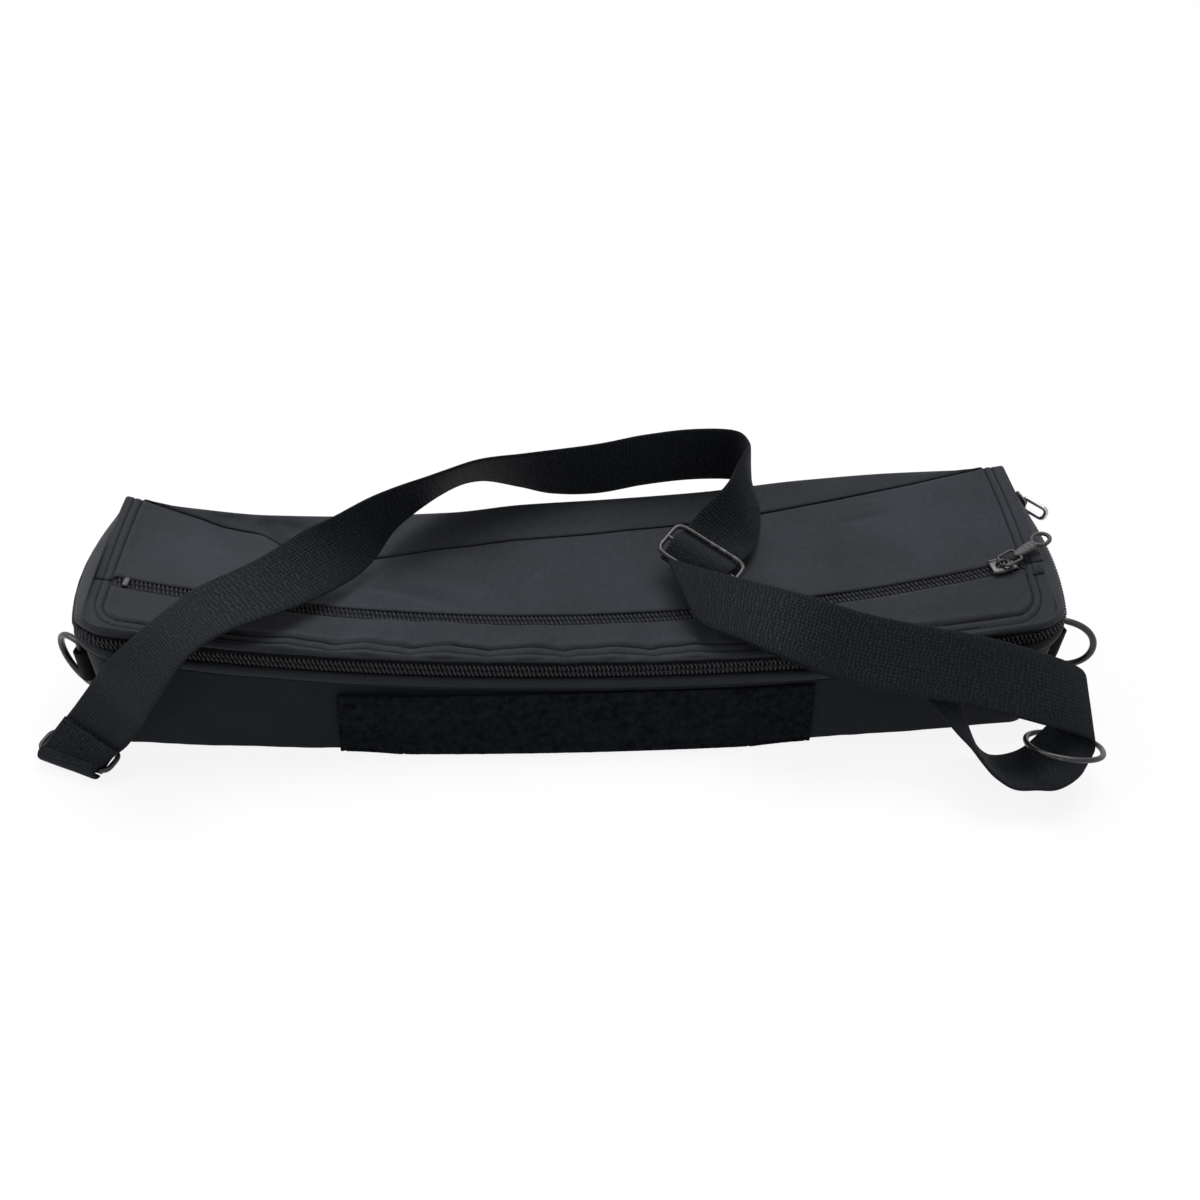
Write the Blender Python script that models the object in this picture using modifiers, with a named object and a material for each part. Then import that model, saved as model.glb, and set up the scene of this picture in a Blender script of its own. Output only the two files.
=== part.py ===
"""A soft bag for a flute case with its shoulder strap lying over it.

The tray is the padded base, the walls and the lower half of the main zip. The
lid turns about the top of the back wall. The main zip runs round both ends and
the front. A second, curved zip opens the flat pocket in the lid. The origin is
the middle of the bag's bottom face, +X to the right along the bag, +Y to the
back, +Z up. Metres.
"""

import math

import bmesh
import bpy
from mathutils import Matrix, Vector

# The bag
LENGTH = 0.414
DEPTH = 0.104
HEIGHT = 0.060
CORNER_RADIUS = 0.012
LID_CORNER_RADIUS = 0.008
END_TWIST = 0.0047
FRONT_LEAN = 0.011
BASE_BOW = 0.0095
RIM_BOW = 0.0055
FRONT_SAG = 0.0165
BACK_SAG = 0.016
END_BOW = 0.010
SEAM_INSET = 0.028

# Layers of cloth and foam
GAP = 0.0004
BASE_THICKNESS = 0.0025
BASE_PAD = 0.0028
BASE_INSET = 0.0012
WALL = 0.0035
SHEET = 0.0012
TAPE = 0.0006
TAPE_DROP = 0.0016
INNER_PANEL = 0.003
POCKET_ROOM = 0.0038
INNER_INSET = 0.0028
TOP_DROP = 0.0019
BACK_DROP = 0.0042
FLAP_DROP = 0.0034
HINGE_LEVEL = 0.0458

# Zips
COIL_RADIUS = 0.0013
COIL_OFFSET = 0.00145
COIL_OUT = 0.0006
POCKET_COIL_LIFT = -0.0007
TAPE_START = 0.00305
TAPE_END = 0.0075
PANEL_EDGE = 0.0036
WALL_TOP = 0.0078
BINDING_TOP = 0.0036
BINDING_BOTTOM = 0.0088
POCKET_ARC_RADIUS = 0.965
POCKET_MIDDLE_Y = -0.0248
POCKET_MIDDLE_Z = 0.0447
POCKET_END = 0.194
SLIDER_LENGTH = 0.0095
SLIDER_WIDTH = 0.0088
SLIDER_PLATE = 0.001
SLIDER_ROOM = 0.0005
CHANNEL_WIDTH = 0.0064
BRIDGE_LENGTH = 0.0054
BRIDGE_WIDTH = 0.002
BRIDGE_HEIGHT = 0.0040
PIN_HOLE = 0.0024
PULL_WIRE = 0.00065
LINK_LENGTH = 0.009
LINK_WIDTH = 0.0068
TAB_LENGTH = 0.019
TAB_WIDTH = 0.0042
TAB_THICKNESS = 0.0028
TAB_EYE = 0.0021
MAIN_PULL_LENGTH = 0.016
MAIN_PULL_WIDTH = 0.0062
STOP_SIZE = 0.0026

# Handle, rings and strap
HANDLE_LENGTH = 0.208
HANDLE_WIDTH = 0.0275
HANDLE_THICKNESS = 0.0018
HANDLE_FOOT = 0.0008
HANDLE_SLACK = 0.0015
WEBBING = 0.030
STRAP_THICKNESS = 0.0016
RING_WIRE = 0.0015
RING_BAR = 0.027
RING_BOW = 0.0165
RING_OUT = 0.0059
RING_BACK = 0.0108
TAB_HEIGHT = 0.017
RING_TAB_THICKNESS = 0.001
RING_TAB_ROOM = 0.0009
RING_TAB_LEG = 0.016
LOOP_WIRE = 0.0012
LEFT_LOOP_LENGTH = 0.0358
LEFT_LOOP_WIDTH = 0.0130
RIGHT_LOOP_LENGTH = 0.0306
RIGHT_LOOP_WIDTH = 0.0342
FOLD_RADIUS = 0.0027
END_LAP = 0.0022
HOOK_WIRE = 0.0015
HOOK_GATE_WIRE = 0.0012
HOOK_EYE = 0.0031
HOOK_LENGTH = 0.0225
HOOK_WIDTH = 0.0092
GLIDE_LENGTH = 0.0362
GLIDE_WIDTH = 0.0185
GLIDE_WIRE = 0.0011

# Shares: each pair is a place along the bag, -1 at the left end and 1 at the
# right, and the share of the full amount reached there.
SAG_POWER = 2.3
ZIP_LEVEL = 0.86
BACK_SAG_SHARES = (
    (-1.0, 0.0),
    (-0.85, 0.45),
    (-0.69, 0.80),
    (-0.45, 0.97),
    (-0.27, 0.95),
    (-0.10, 0.74),
    (0.08, 0.66),
    (0.31, 0.50),
    (0.54, 0.18),
    (0.77, 0.02),
    (1.0, 0.0),
)
SEAM_INSET_SHARES = (
    (-1.0, 0.02),
    (-0.73, 0.43),
    (-0.47, 1.0),
    (-0.26, 0.82),
    (-0.04, 0.80),
    (0.35, 0.69),
    (0.45, 0.66),
    (1.0, 0.02),
)
BULGE_SHARES = ((0.0, 0.0), (0.4, 0.62), (0.78, 1.0), (0.92, 1.0), (1.0, 0.2))

HALF = LENGTH / 2
BACK = DEPTH / 2
BOW_RADIUS = (BACK**2 + END_BOW**2) / (2 * END_BOW)

X = Vector((1, 0, 0))
Y = Vector((0, 1, 0))
Z = Vector((0, 0, 1))

# The strap's stations: the centre of the webbing as shares of half the length,
# half the depth and the height, then the direction across the webbing.
LONG_RUN_SHARES = (
    ((-1.0640, -1.2450, 0.025), (0.91, -0.41, 0.00)),
    ((-1.0540, -1.1850, 0.060), (0.91, -0.42, -0.02)),
    ((-1.0330, -1.1500, 0.165), (0.88, -0.46, -0.12)),
    ((-0.9900, -1.1500, 0.345), (0.80, -0.53, -0.28)),
    ((-0.9490, -1.1250, 0.535), (0.72, -0.60, -0.33)),
    ((-0.9080, -1.1540, 0.760), (0.66, -0.68, -0.30)),
    ((-0.8570, -1.1190, 0.965), (0.62, -0.77, -0.13)),
    ((-0.8045, -0.9530, 1.090), (0.58, -0.81, 0.04)),
    ((-0.7390, -0.6760, 1.090), (0.60, -0.79, -0.06)),
    ((-0.6215, -0.3260, 1.045), (0.64, -0.715, -0.27)),
    ((-0.5405, -0.0310, 1.028), (0.62, -0.52, -0.57)),
    ((-0.4750, 0.2320, 1.015), (0.50, -0.10, -0.84)),
    ((-0.4010, 0.5960, 1.030), (0.20, 0.30, -0.93)),
    ((-0.2910, 0.9040, 1.070), (0.15, 0.57, -0.80)),
    ((-0.1980, 1.1040, 1.060), (0.00, 0.54, -0.84)),
    ((-0.1020, 1.1350, 1.030), (-0.05, 0.35, -0.93)),
    ((-0.0190, 1.1300, 1.017), (-0.08, 0.12, -0.99)),
    ((0.0780, 1.1300, 1.040), (0.00, 0.00, -1.00)),
    ((0.1750, 1.1350, 1.110), (0.05, 0.00, -1.00)),
    ((0.2670, 1.1540, 1.142), (0.05, 0.00, -1.00)),
    ((0.3480, 1.1540, 1.150), (0.10, 0.00, -1.00)),
    ((0.3980, 1.1150, 1.150), (0.10, 0.05, -0.99)),
    ((0.4155, 0.9810, 1.175), (0.15, 0.25, -0.95)),
    ((0.4082, 0.8270, 1.200), (0.25, 0.20, -0.95)),
    ((0.4010, 0.6150, 1.170), (0.43, -0.10, -0.90)),
    ((0.3768, 0.3850, 1.090), (0.55, -0.35, -0.76)),
)
TOP_RUN_SHARES = (
    ((0.2230, -0.3360, 0.9565), (0.26, -0.94, -0.20)),
    ((0.2700, -0.4500, 0.925), (-0.02, -0.96, -0.26)),
    ((0.3530, -0.6000, 0.915), (-0.25, -0.93, -0.26)),
    ((0.4550, -0.8530, 0.940), (-0.31, -0.82, -0.48)),
    ((0.5630, -0.9900, 0.860), (-0.27, -0.70, -0.67)),
    ((0.6850, -1.1110, 0.820), (-0.22, -0.68, -0.69)),
    ((0.8100, -1.2000, 0.773), (-0.24, -0.68, -0.69)),
    ((0.9570, -1.2630, 0.625), (-0.12, -0.73, -0.68)),
    ((1.0400, -1.3100, 0.520), (0.02, -0.78, -0.62)),
)
LOOP_RUN_SHARES = (
    ((1.0445, -1.3165, 0.506), (0.03, -0.78, -0.62)),
    ((1.0540, -1.3600, 0.440), (0.05, -0.81, -0.58)),
    ((1.0380, -1.4300, 0.350), (0.05, -0.88, -0.47)),
    ((1.0050, -1.5400, 0.268), (0.05, -0.97, -0.17)),
    ((0.9560, -1.6350, 0.170), (0.05, -0.96, 0.18)),
    ((0.9180, -1.6450, 0.125), (0.05, -0.93, 0.35)),
    ((0.8740, -1.6350, 0.120), (0.05, -0.93, 0.37)),
    ((0.8380, -1.5800, 0.200), (0.00, -0.94, 0.34)),
    ((0.8120, -1.5000, 0.310), (0.00, -0.97, 0.20)),
    ((0.7920, -1.3850, 0.450), (-0.05, -0.99, -0.10)),
    ((0.7730, -1.2700, 0.575), (-0.15, -0.88, -0.45)),
    ((0.7340, -1.1150, 0.722), (-0.21, -0.71, -0.67)),
)
UNDER_RUN_SHARES = (
    ((0.7300, -1.0950, 0.738), (-0.22, -0.70, -0.67)),
    ((0.6850, -1.0500, 0.765), (-0.22, -0.68, -0.69)),
    ((0.5630, -0.9350, 0.800), (-0.27, -0.70, -0.67)),
    ((0.4550, -0.8100, 0.885), (-0.31, -0.82, -0.48)),
    ((0.3700, -0.6100, 0.872), (-0.25, -0.93, -0.26)),
)


def cleared():
    for thing in list(bpy.data.objects):
        bpy.data.objects.remove(thing, do_unlink=True)


def collection(name, hidden=False):
    made = bpy.data.collections.new(name)
    bpy.context.scene.collection.children.link(made)
    made.hide_render = hidden
    return made


def material(name, colour, roughness, metallic=0.0):
    made = bpy.data.materials.new(name)
    made.use_nodes = True
    shader = made.node_tree.nodes["Principled BSDF"]
    shader.inputs["Base Color"].default_value = (*colour, 1)
    shader.inputs["Roughness"].default_value = roughness
    shader.inputs["Metallic"].default_value = metallic
    return made


cleared()
PARTS = collection("flute_bag")
CUTTERS = collection("flute_bag_cutters", hidden=True)

LID_CLOTH = material("lid_cloth", (0.042, 0.045, 0.052), 0.75)
WALL_CLOTH = material("wall_cloth", (0.012, 0.015, 0.019), 0.8)
LINING = material("lining", (0.02, 0.02, 0.022), 0.9)
ZIP_TAPE = material("zip_tape", (0.012, 0.012, 0.014), 0.85)
ZIP_COIL = material("zip_coil", (0.014, 0.015, 0.018), 0.4)
WEB = material("webbing", (0.016, 0.016, 0.018), 0.8)
PILE = material("pile_webbing", (0.008, 0.008, 0.009), 0.95)
BLACK_METAL = material("black_metal", (0.02, 0.02, 0.022), 0.35, 0.8)
PULL_METAL = material("pull_metal", (0.25, 0.25, 0.26), 0.3, 1.0)
PULL_RUBBER = material("pull_rubber", (0.01, 0.01, 0.012), 0.5)


def smooth(shares, at):
    """The value at a place, on a curve that passes through each pair without overshoot."""
    at = min(max(at, shares[0][0]), shares[-1][0])
    spans = list(zip(shares, shares[1:]))
    slopes = [(b[1] - a[1]) / (b[0] - a[0]) for a, b in spans]
    turns = [slopes[0]]
    for before, after in zip(slopes, slopes[1:]):
        turns.append(0 if before * after <= 0 else 2 * before * after / (before + after))
    turns.append(slopes[-1])
    for i, (a, b) in enumerate(spans):
        if at <= b[0]:
            wide = b[0] - a[0]
            t = (at - a[0]) / wide
            return (
                a[1] * (1 + 2 * t) * (1 - t) ** 2
                + b[1] * t * t * (3 - 2 * t)
                + turns[i] * wide * t * (1 - t) ** 2
                - turns[i + 1] * wide * t * t * (1 - t)
            )
    return shares[-1][1]


def mixed(a, b, t):
    return a + (b - a) * t


def rim_height(x, deep):
    """The height of the lid's edge, deep 0 at the front and 1 at the back."""
    t = min(max(x / HALF, -1), 1)
    front = HEIGHT - END_TWIST * t - FRONT_SAG * (1 - abs(t) ** SAG_POWER)
    back = HEIGHT + END_TWIST * t - BACK_SAG * smooth(BACK_SAG_SHARES, t)
    return mixed(front, back, deep)


def front_y(x, level):
    t = min(max(x / HALF, -1), 1)
    return -BACK + FRONT_LEAN * level - mixed(BASE_BOW, RIM_BOW, level) * (1 - t * t)


def end_bulge(y, level):
    y = min(max(y, -BACK), BACK)
    arc = math.sqrt(BOW_RADIUS**2 - y * y) - (BOW_RADIUS - END_BOW)
    return arc * smooth(BULGE_SHARES, level)


def corner_at(level):
    share = min(max((level - ZIP_LEVEL) / (1 - ZIP_LEVEL), 0), 1)
    return mixed(CORNER_RADIUS, LID_CORNER_RADIUS, share)


def outline(run, level, out=0.0):
    """A point in plan round the bag. Run 0 to 1 is the left end from the back, 1 to 2
    the left front corner, 2 to 3 the front, 3 to 4 the right front corner and 4 to 5
    the right end to the back."""
    if run > 2.5:
        point = outline(5 - run, level, out) if run > 3 else None
        if point is not None:
            return outline_mirror(run, level, out)
    radius = corner_at(level)
    corner_x = HALF - radius
    if 2 <= run <= 3:
        x = mixed(-corner_x, corner_x, run - 2)
        slope = 2 * mixed(BASE_BOW, RIM_BOW, level) * x / HALF**2
        normal = Vector((slope, -1, 0)).normalized()
        return Vector((x, front_y(x, level), 0)) + normal * out
    return outline_end(run, level, out, -1)


def outline_mirror(run, level, out):
    return outline_end(5 - run, level, out, 1)


def outline_end(run, level, out, side):
    """The end wall (run 0 to 1, from the back) or the corner (1 to 2) on one side."""
    radius = corner_at(level)
    corner = Vector((side * (HALF - radius), front_y(HALF - radius, level) + radius, 0))
    if run <= 1:
        y = mixed(BACK, corner.y, run)
        lean = y / BOW_RADIUS * smooth(BULGE_SHARES, level)
        normal = Vector((side, lean, 0)).normalized()
        x = HALF + end_bulge(y, level)
        return Vector((side * x, y, 0)) + normal * out
    turn = (run - 1) * math.pi / 2
    normal = Vector((side * math.cos(turn), -math.sin(turn), 0))
    point = corner + normal * (radius + out)
    point.x += side * end_bulge(point.y, level) * math.cos(turn)
    return point


def on_wall(run, share=0.0, rise=0.0, out=0.0, drop=None):
    """A point on the bag's side, at a share of the rim's height plus a rise. With a
    drop it lies that far below the rim."""
    level = share
    for _ in range(3):
        flat = outline(run, level)
        deep = min(max((flat.y - front_y(0, level) - BASE_BOW) / (DEPTH - FRONT_LEAN), 0), 1)
        if 2 <= run <= 3:
            deep = 0
        top = rim_height(flat.x, deep)
        height = top * share + rise if drop is None else top - drop
        level = min(max(height / top, 0), 1)
    point = outline(run, level, out)
    point.z = height
    return point


def grid(name, place, columns, rows, thickness, offset, look):
    """A sheet: a grid whose vertices are put in place, then thickened."""
    mesh = bpy.data.meshes.new(name)
    shape = bmesh.new()
    bmesh.ops.create_grid(shape, x_segments=columns, y_segments=rows, size=1)
    for vert in shape.verts:
        vert.co = place((vert.co.x + 1) / 2, (vert.co.y + 1) / 2)
    shape.to_mesh(mesh)
    shape.free()
    made = linked(name, mesh, look)
    solid = made.modifiers.new("thickness", "SOLIDIFY")
    solid.thickness = thickness
    solid.offset = offset
    solid.use_even_offset = True
    return made


def slab(name, place, columns, rows, outer, inner, look):
    """A curved wall: one grid at each of two distances out, lofted into a closed piece."""
    mesh = bpy.data.meshes.new(name)
    shape = bmesh.new()
    layers = [
        [
            [shape.verts.new(place(i / columns, j / rows, out)) for j in range(rows + 1)]
            for i in range(columns + 1)
        ]
        for out in (outer, inner)
    ]
    near, far = layers
    for i in range(columns):
        for j in range(rows):
            shape.faces.new((near[i][j], near[i + 1][j], near[i + 1][j + 1], near[i][j + 1]))
            shape.faces.new((far[i][j], far[i][j + 1], far[i + 1][j + 1], far[i + 1][j]))
        shape.faces.new((near[i][0], far[i][0], far[i + 1][0], near[i + 1][0]))
        shape.faces.new((near[i][rows], near[i + 1][rows], far[i + 1][rows], far[i][rows]))
    for j in range(rows):
        shape.faces.new((near[0][j], near[0][j + 1], far[0][j + 1], far[0][j]))
        shape.faces.new((near[columns][j], far[columns][j], far[columns][j + 1], near[columns][j + 1]))
    bmesh.ops.recalc_face_normals(shape, faces=shape.faces)
    shape.to_mesh(mesh)
    shape.free()
    return linked(name, mesh, look)


def linked(name, mesh, look, where=None):
    made = bpy.data.objects.new(name, mesh)
    (where or PARTS).objects.link(made)
    if look:
        mesh.materials.append(look)
    for face in mesh.polygons:
        face.use_smooth = True
    mesh.set_sharp_from_angle(angle=math.radians(40))
    return made


def tube(name, points, radius, look, cyclic=False, sides=2):
    """A wire along a list of points."""
    curve = bpy.data.curves.new(name, "CURVE")
    curve.dimensions = "3D"
    curve.bevel_depth = radius
    curve.bevel_resolution = sides
    curve.use_fill_caps = True
    spline = curve.splines.new("POLY")
    spline.points.add(len(points) - 1)
    for slot, point in zip(spline.points, points):
        slot.co = (*point, 1)
    spline.use_cyclic_u = cyclic
    made = bpy.data.objects.new(name, curve)
    PARTS.objects.link(made)
    curve.materials.append(look)
    return made


def as_mesh(curved, look, where=None):
    """The same piece as a mesh, so that it can be cut or joined."""
    bpy.context.view_layer.update()
    graph = bpy.context.evaluated_depsgraph_get()
    mesh = bpy.data.meshes.new_from_object(curved.evaluated_get(graph))
    shape = bmesh.new()
    shape.from_mesh(mesh)
    bmesh.ops.remove_doubles(shape, verts=shape.verts, dist=GAP / 40)
    bmesh.ops.recalc_face_normals(shape, faces=shape.faces)
    shape.to_mesh(mesh)
    shape.free()
    name = curved.name
    place = curved.matrix_world.copy()
    bpy.data.objects.remove(curved, do_unlink=True)
    mesh.materials.clear()
    made = linked(name, mesh, look, where)
    made.matrix_world = place
    return made


def block(name, size, where, look, bevel=0.0, folder=None):
    """A box with its own axes: size and where, the latter a matrix."""
    mesh = bpy.data.meshes.new(name)
    shape = bmesh.new()
    bmesh.ops.create_cube(shape, size=1)
    for vert in shape.verts:
        vert.co = Vector(a * b for a, b in zip(vert.co, size))
    if bevel:
        bmesh.ops.bevel(
            shape,
            geom=list(shape.edges),
            offset=bevel,
            segments=1,
            affect="EDGES",
            profile=0.5,
        )
    shape.to_mesh(mesh)
    shape.free()
    made = linked(name, mesh, look, folder)
    made.matrix_world = where
    return made


def boolean(target, other, operation):
    other.hide_render = True
    other.display_type = "WIRE"
    step = target.modifiers.new(operation.lower(), "BOOLEAN")
    step.operation = operation
    step.object = other
    step.solver = "EXACT"


def axes(origin, along, across, up):
    made = Matrix.Identity(4)
    for column, axis in enumerate((along, across, up)):
        for row in range(3):
            made[row][column] = axis[row]
    made.translation = origin
    return made


def placed(shares):
    """Stations in metres from a table of shares."""
    return [
        (Vector((where[0] * HALF, where[1] * BACK, where[2] * HEIGHT)), Vector(across))
        for where, across in shares
    ]


def spline_at(stations, at):
    """Centre and across direction at a share of the way through the stations."""
    spot = at * (len(stations) - 1)
    i = min(int(spot), len(stations) - 2)
    t = spot - i
    rows = [stations[min(max(i + k, 0), len(stations) - 1)] for k in (-1, 0, 1, 2)]
    found = []
    for kind in (0, 1):
        a, b, c, d = (row[kind] for row in rows)
        found.append(
            (b * 2 + (c - a) * t + (a * 2 - b * 5 + c * 4 - d) * t**2 + (b * 3 - a - c * 3 + d) * t**3)
            / 2
        )
    return found[0], found[1].normalized()


def ribbon(name, stations, steps, look, width=WEBBING, thickness=STRAP_THICKNESS, lift=0.0, span=(0, 1)):
    """Flat webbing through the stations, raised by lift along its own normal."""

    def place(u, v):
        at = mixed(span[0], span[1], u)
        centre, across = spline_at(stations, at)
        before = spline_at(stations, max(at - 0.004, 0))[0]
        after = spline_at(stations, min(at + 0.004, 1))[0]
        normal = (after - before).cross(across).normalized()
        return centre + across * width * (v - 0.5) - normal * lift

    return grid(name, place, steps, 1, thickness, 0.0, look)


# The tray: base, padding and walls.


def base_place(u, v):
    run_x = mixed(-1, 1, u)
    radius = CORNER_RADIUS
    x = run_x * HALF
    edge = front_y(x, 0)
    inner = abs(x) - (HALF - radius)
    if inner > 0:
        edge = front_y(HALF - radius, 0) + radius - math.sqrt(max(radius**2 - inner**2, 0))
    x *= 1 - BASE_INSET / HALF
    return Vector((x, mixed(edge + BASE_INSET, BACK, v), 0))


def eased(place, power=0.55):
    """Gathers the columns toward both ends, where the corners turn."""

    def put(u, v):
        signed = 2 * u - 1
        share = math.sin(signed * math.pi / 2)
        return place((mixed(signed, share, power) + 1) / 2, v)

    return put


grid("bottom_panel", eased(base_place, 0.9), 40, 1, BASE_THICKNESS, 1.0, WALL_CLOTH)


def pad_place(u, v):
    inset = WALL + 3 * GAP
    x = mixed(-1, 1, u) * (HALF - inset - CORNER_RADIUS / 2)
    edge = front_y(x, 0) + inset + CORNER_RADIUS / 8
    return Vector((x, mixed(edge, BACK - inset, v), BASE_THICKNESS + GAP))


grid("base_foam_pad", pad_place, 20, 1, BASE_PAD, 1.0, LINING)

WALL_FOOT = BASE_THICKNESS + GAP


def rim_of(run):
    """The rim's height at a run round the bag."""
    return on_wall(run, 1.0).z


def side_point(run, height, out):
    """A point at a height on the bag's side."""
    full = rim_of(run)
    point = outline(run, min(max(height / full, 0), 1), out)
    point.z = height
    return point


def paced(start, end, stops):
    """Runs from start to end, sharing the columns out by the stops."""
    stops = ((0.0, start), *stops, (1.0, end))

    def at(u):
        for a, b in zip(stops, stops[1:]):
            if u <= b[0]:
                return mixed(a[1], b[1], (u - a[0]) / (b[0] - a[0]))
        return end

    return at


def wall_place(start, end):
    """A wall between two runs, from the base up to the zip."""

    def put(u, v, out):
        run = mixed(start, end, u)
        top = on_wall(run, ZIP_LEVEL, -WALL_TOP).z
        return side_point(run, mixed(WALL_FOOT, top, v), out)

    return put


FRONT_START = 1.0 + GAP / CORNER_RADIUS
END_STOP = 1.0 - GAP / DEPTH
WALL_BACK_RUN = (WALL + GAP) / (DEPTH - CORNER_RADIUS)


def front_wall_place(u, v, out):
    pace = paced(FRONT_START, 5 - FRONT_START, ((0.16, 2.0), (0.84, 3.0)))
    return wall_place(0, 5)(pace(u) / 5, v, out)


slab("front_wall", front_wall_place, 38, 3, 0, -WALL, WALL_CLOTH)
slab("left_end_wall", wall_place(WALL_BACK_RUN, END_STOP), 8, 3, 0, -WALL, WALL_CLOTH)
slab("right_end_wall", wall_place(5 - END_STOP, 5 - WALL_BACK_RUN), 8, 3, 0, -WALL, WALL_CLOTH)


def back_place(u, v):
    """The back wall, up to the line where the lid bends."""
    x = mixed(HALF - GAP, GAP - HALF, u)
    top = min(rim_height(x, 1) - BACK_DROP, HINGE_LEVEL - GAP)
    return Vector((x, BACK, mixed(WALL_FOOT, top, v)))


grid("back_wall", back_place, 26, 1, WALL, -1.0, WALL_CLOTH)


ZIP_START = 0.13
ZIP_END = 5 - ZIP_START


ZIP_STOPS = ((0.12, 1.0), (0.26, 2.0), (0.74, 3.0), (0.88, 4.0))


def long_band(name, low, high, outer, thickness, look, top_drop=None, columns=54):
    """A strip round the side, between two rises from the zip's centre line."""
    pace = paced(ZIP_START, ZIP_END, ZIP_STOPS)

    def put(u, v, out):
        run = pace(u)
        foot = on_wall(run, ZIP_LEVEL, low, out)
        if top_drop is None:
            top = on_wall(run, ZIP_LEVEL, high, out)
        else:
            top = on_wall(run, drop=top_drop, out=out)
        return foot.lerp(top, v)

    return slab(name, put, columns, 1, outer, outer - thickness, look)


long_band("main_zip_lower_tape", -TAPE_END, -TAPE_START, -GAP, TAPE, ZIP_TAPE)
long_band("rim_binding", -BINDING_BOTTOM, -BINDING_TOP, GAP + SHEET * 0.75, SHEET * 0.75, WALL_CLOTH)
long_band("main_zip_upper_tape", TAPE_START, 0, -GAP, TAPE, ZIP_TAPE, top_drop=TOP_DROP)
long_band("lid_gusset", PANEL_EDGE, 0, SHEET * 0.75, SHEET * 0.75, LID_CLOTH, top_drop=TOP_DROP)


COIL_FREE_END = 4.765


def coil_points(rise, end, count=58):
    pace = paced(ZIP_START, end, ZIP_STOPS)
    return [on_wall(pace(i / count), ZIP_LEVEL, rise, COIL_OUT) for i in range(count + 1)]


tube("main_zip_lower_coil", coil_points(-COIL_OFFSET, ZIP_END), COIL_RADIUS, ZIP_COIL, sides=0)
tube("main_zip_upper_coil", coil_points(COIL_OFFSET, COIL_FREE_END), COIL_RADIUS, ZIP_COIL, sides=0)


def stop(name, run, side):
    """The tape's end stop, beyond the last turn of both coils."""
    here = on_wall(run, ZIP_LEVEL, 0, COIL_OUT)
    ahead = on_wall(run - 0.02 * side, ZIP_LEVEL, 0, COIL_OUT)
    along = (here - ahead).normalized() * side
    outward = along.cross(Z).normalized()
    up = outward.cross(along).normalized()
    shift = along * side * (STOP_SIZE / 2 + 2 * GAP)
    size = (STOP_SIZE, STOP_SIZE, 2 * STOP_SIZE)
    block(name, size, axes(here + shift, along, outward, up), PULL_METAL, GAP)


stop("main_zip_left_stop", ZIP_START, -1)
stop("main_zip_right_stop", ZIP_END, 1)


def handle_place(u, v, out):
    x = mixed(-1, 1, u) * HANDLE_LENGTH / 2
    run = 2 + (x + HALF - CORNER_RADIUS) / (2 * (HALF - CORNER_RADIUS))
    slack = HANDLE_SLACK * min(1, 4 * (1 - abs(2 * u - 1))) ** 2
    height = mixed(HANDLE_FOOT, HANDLE_FOOT + HANDLE_WIDTH, v)
    return side_point(run, height, out + slack)


slab("carry_handle", handle_place, 22, 2, GAP + HANDLE_THICKNESS, GAP, PILE)


# The lid: outer panels either side of the curved zip, the seam strip, and the inner panel.


def pocket_frame(x):
    """The curved zip's point at x and its axes: along, across to the back, and up."""
    turn = math.asin(x / POCKET_ARC_RADIUS)
    radial = Vector((0, -math.sqrt(0.5), -math.sqrt(0.5)))
    axle = Vector((0, math.sqrt(0.5), -math.sqrt(0.5)))
    middle = Vector((0, POCKET_MIDDLE_Y, POCKET_MIDDLE_Z))
    centre = middle - radial * POCKET_ARC_RADIUS
    spoke = X * math.sin(turn) + radial * math.cos(turn)
    along = X * math.cos(turn) - radial * math.sin(turn)
    back = (axle - spoke) * math.sqrt(0.5)
    up = along.cross(back)
    return centre + spoke * POCKET_ARC_RADIUS, along, back, up


def end_x(side, y):
    return side * (HALF + end_bulge(y, 1.0))


def front_edge(x):
    """The lid's front seam, with its rounded corners."""
    radius = LID_CORNER_RADIUS
    inner = min(abs(x), HALF) - (HALF - radius)
    y = front_y(min(abs(x), HALF - radius), 1)
    if inner > 0:
        y += radius - math.sqrt(max(radius**2 - inner**2, 0))
    return Vector((x, y, rim_height(x, 0)))


def seam_edge(x, shift=0.0):
    """The lid's back seam, forward of the crest."""
    t = min(max(x / HALF, -1), 1)
    inset = SEAM_INSET * smooth(SEAM_INSET_SHARES, t)
    crest = rim_height(x, 1)
    return Vector((x, BACK - inset - shift, crest - inset * 0.15))


def zip_edge(x, side):
    """The edge of a panel beside the curved zip."""
    x = min(max(x, -HALF + GAP), HALF - GAP)
    point, along, back, up = pocket_frame(x)
    return point + back * side * PANEL_EDGE


def lofted(first, last, inset=0.0):
    def put(u, v):
        x = mixed(-1, 1, u) * (HALF - inset)
        point = first(x).lerp(last(x), v)
        side = x / HALF
        point.x = x + side * end_bulge(point.y, 1.0)
        return point

    return put


PANEL_POWER = 0.9
grid(
    "lid_front_panel",
    eased(lofted(front_edge, lambda x: zip_edge(x, -1)), PANEL_POWER),
    38,
    2,
    SHEET,
    -1.0,
    LID_CLOTH,
)
grid(
    "lid_rear_panel",
    eased(lofted(lambda x: zip_edge(x, 1), lambda x: seam_edge(x, GAP)), PANEL_POWER),
    38,
    4,
    SHEET,
    -1.0,
    LID_CLOTH,
)


FOLD_SHARE = 0.93


def fold_place(u, v):
    x = mixed(-1, 1, u) * HALF * FOLD_SHARE
    crest = Vector((x, BACK, rim_height(x, 1)))
    return seam_edge(x, -GAP).lerp(crest, v)


grid("lid_back_fold", fold_place, 34, 1, SHEET, -1.0, LID_CLOTH)


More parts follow.
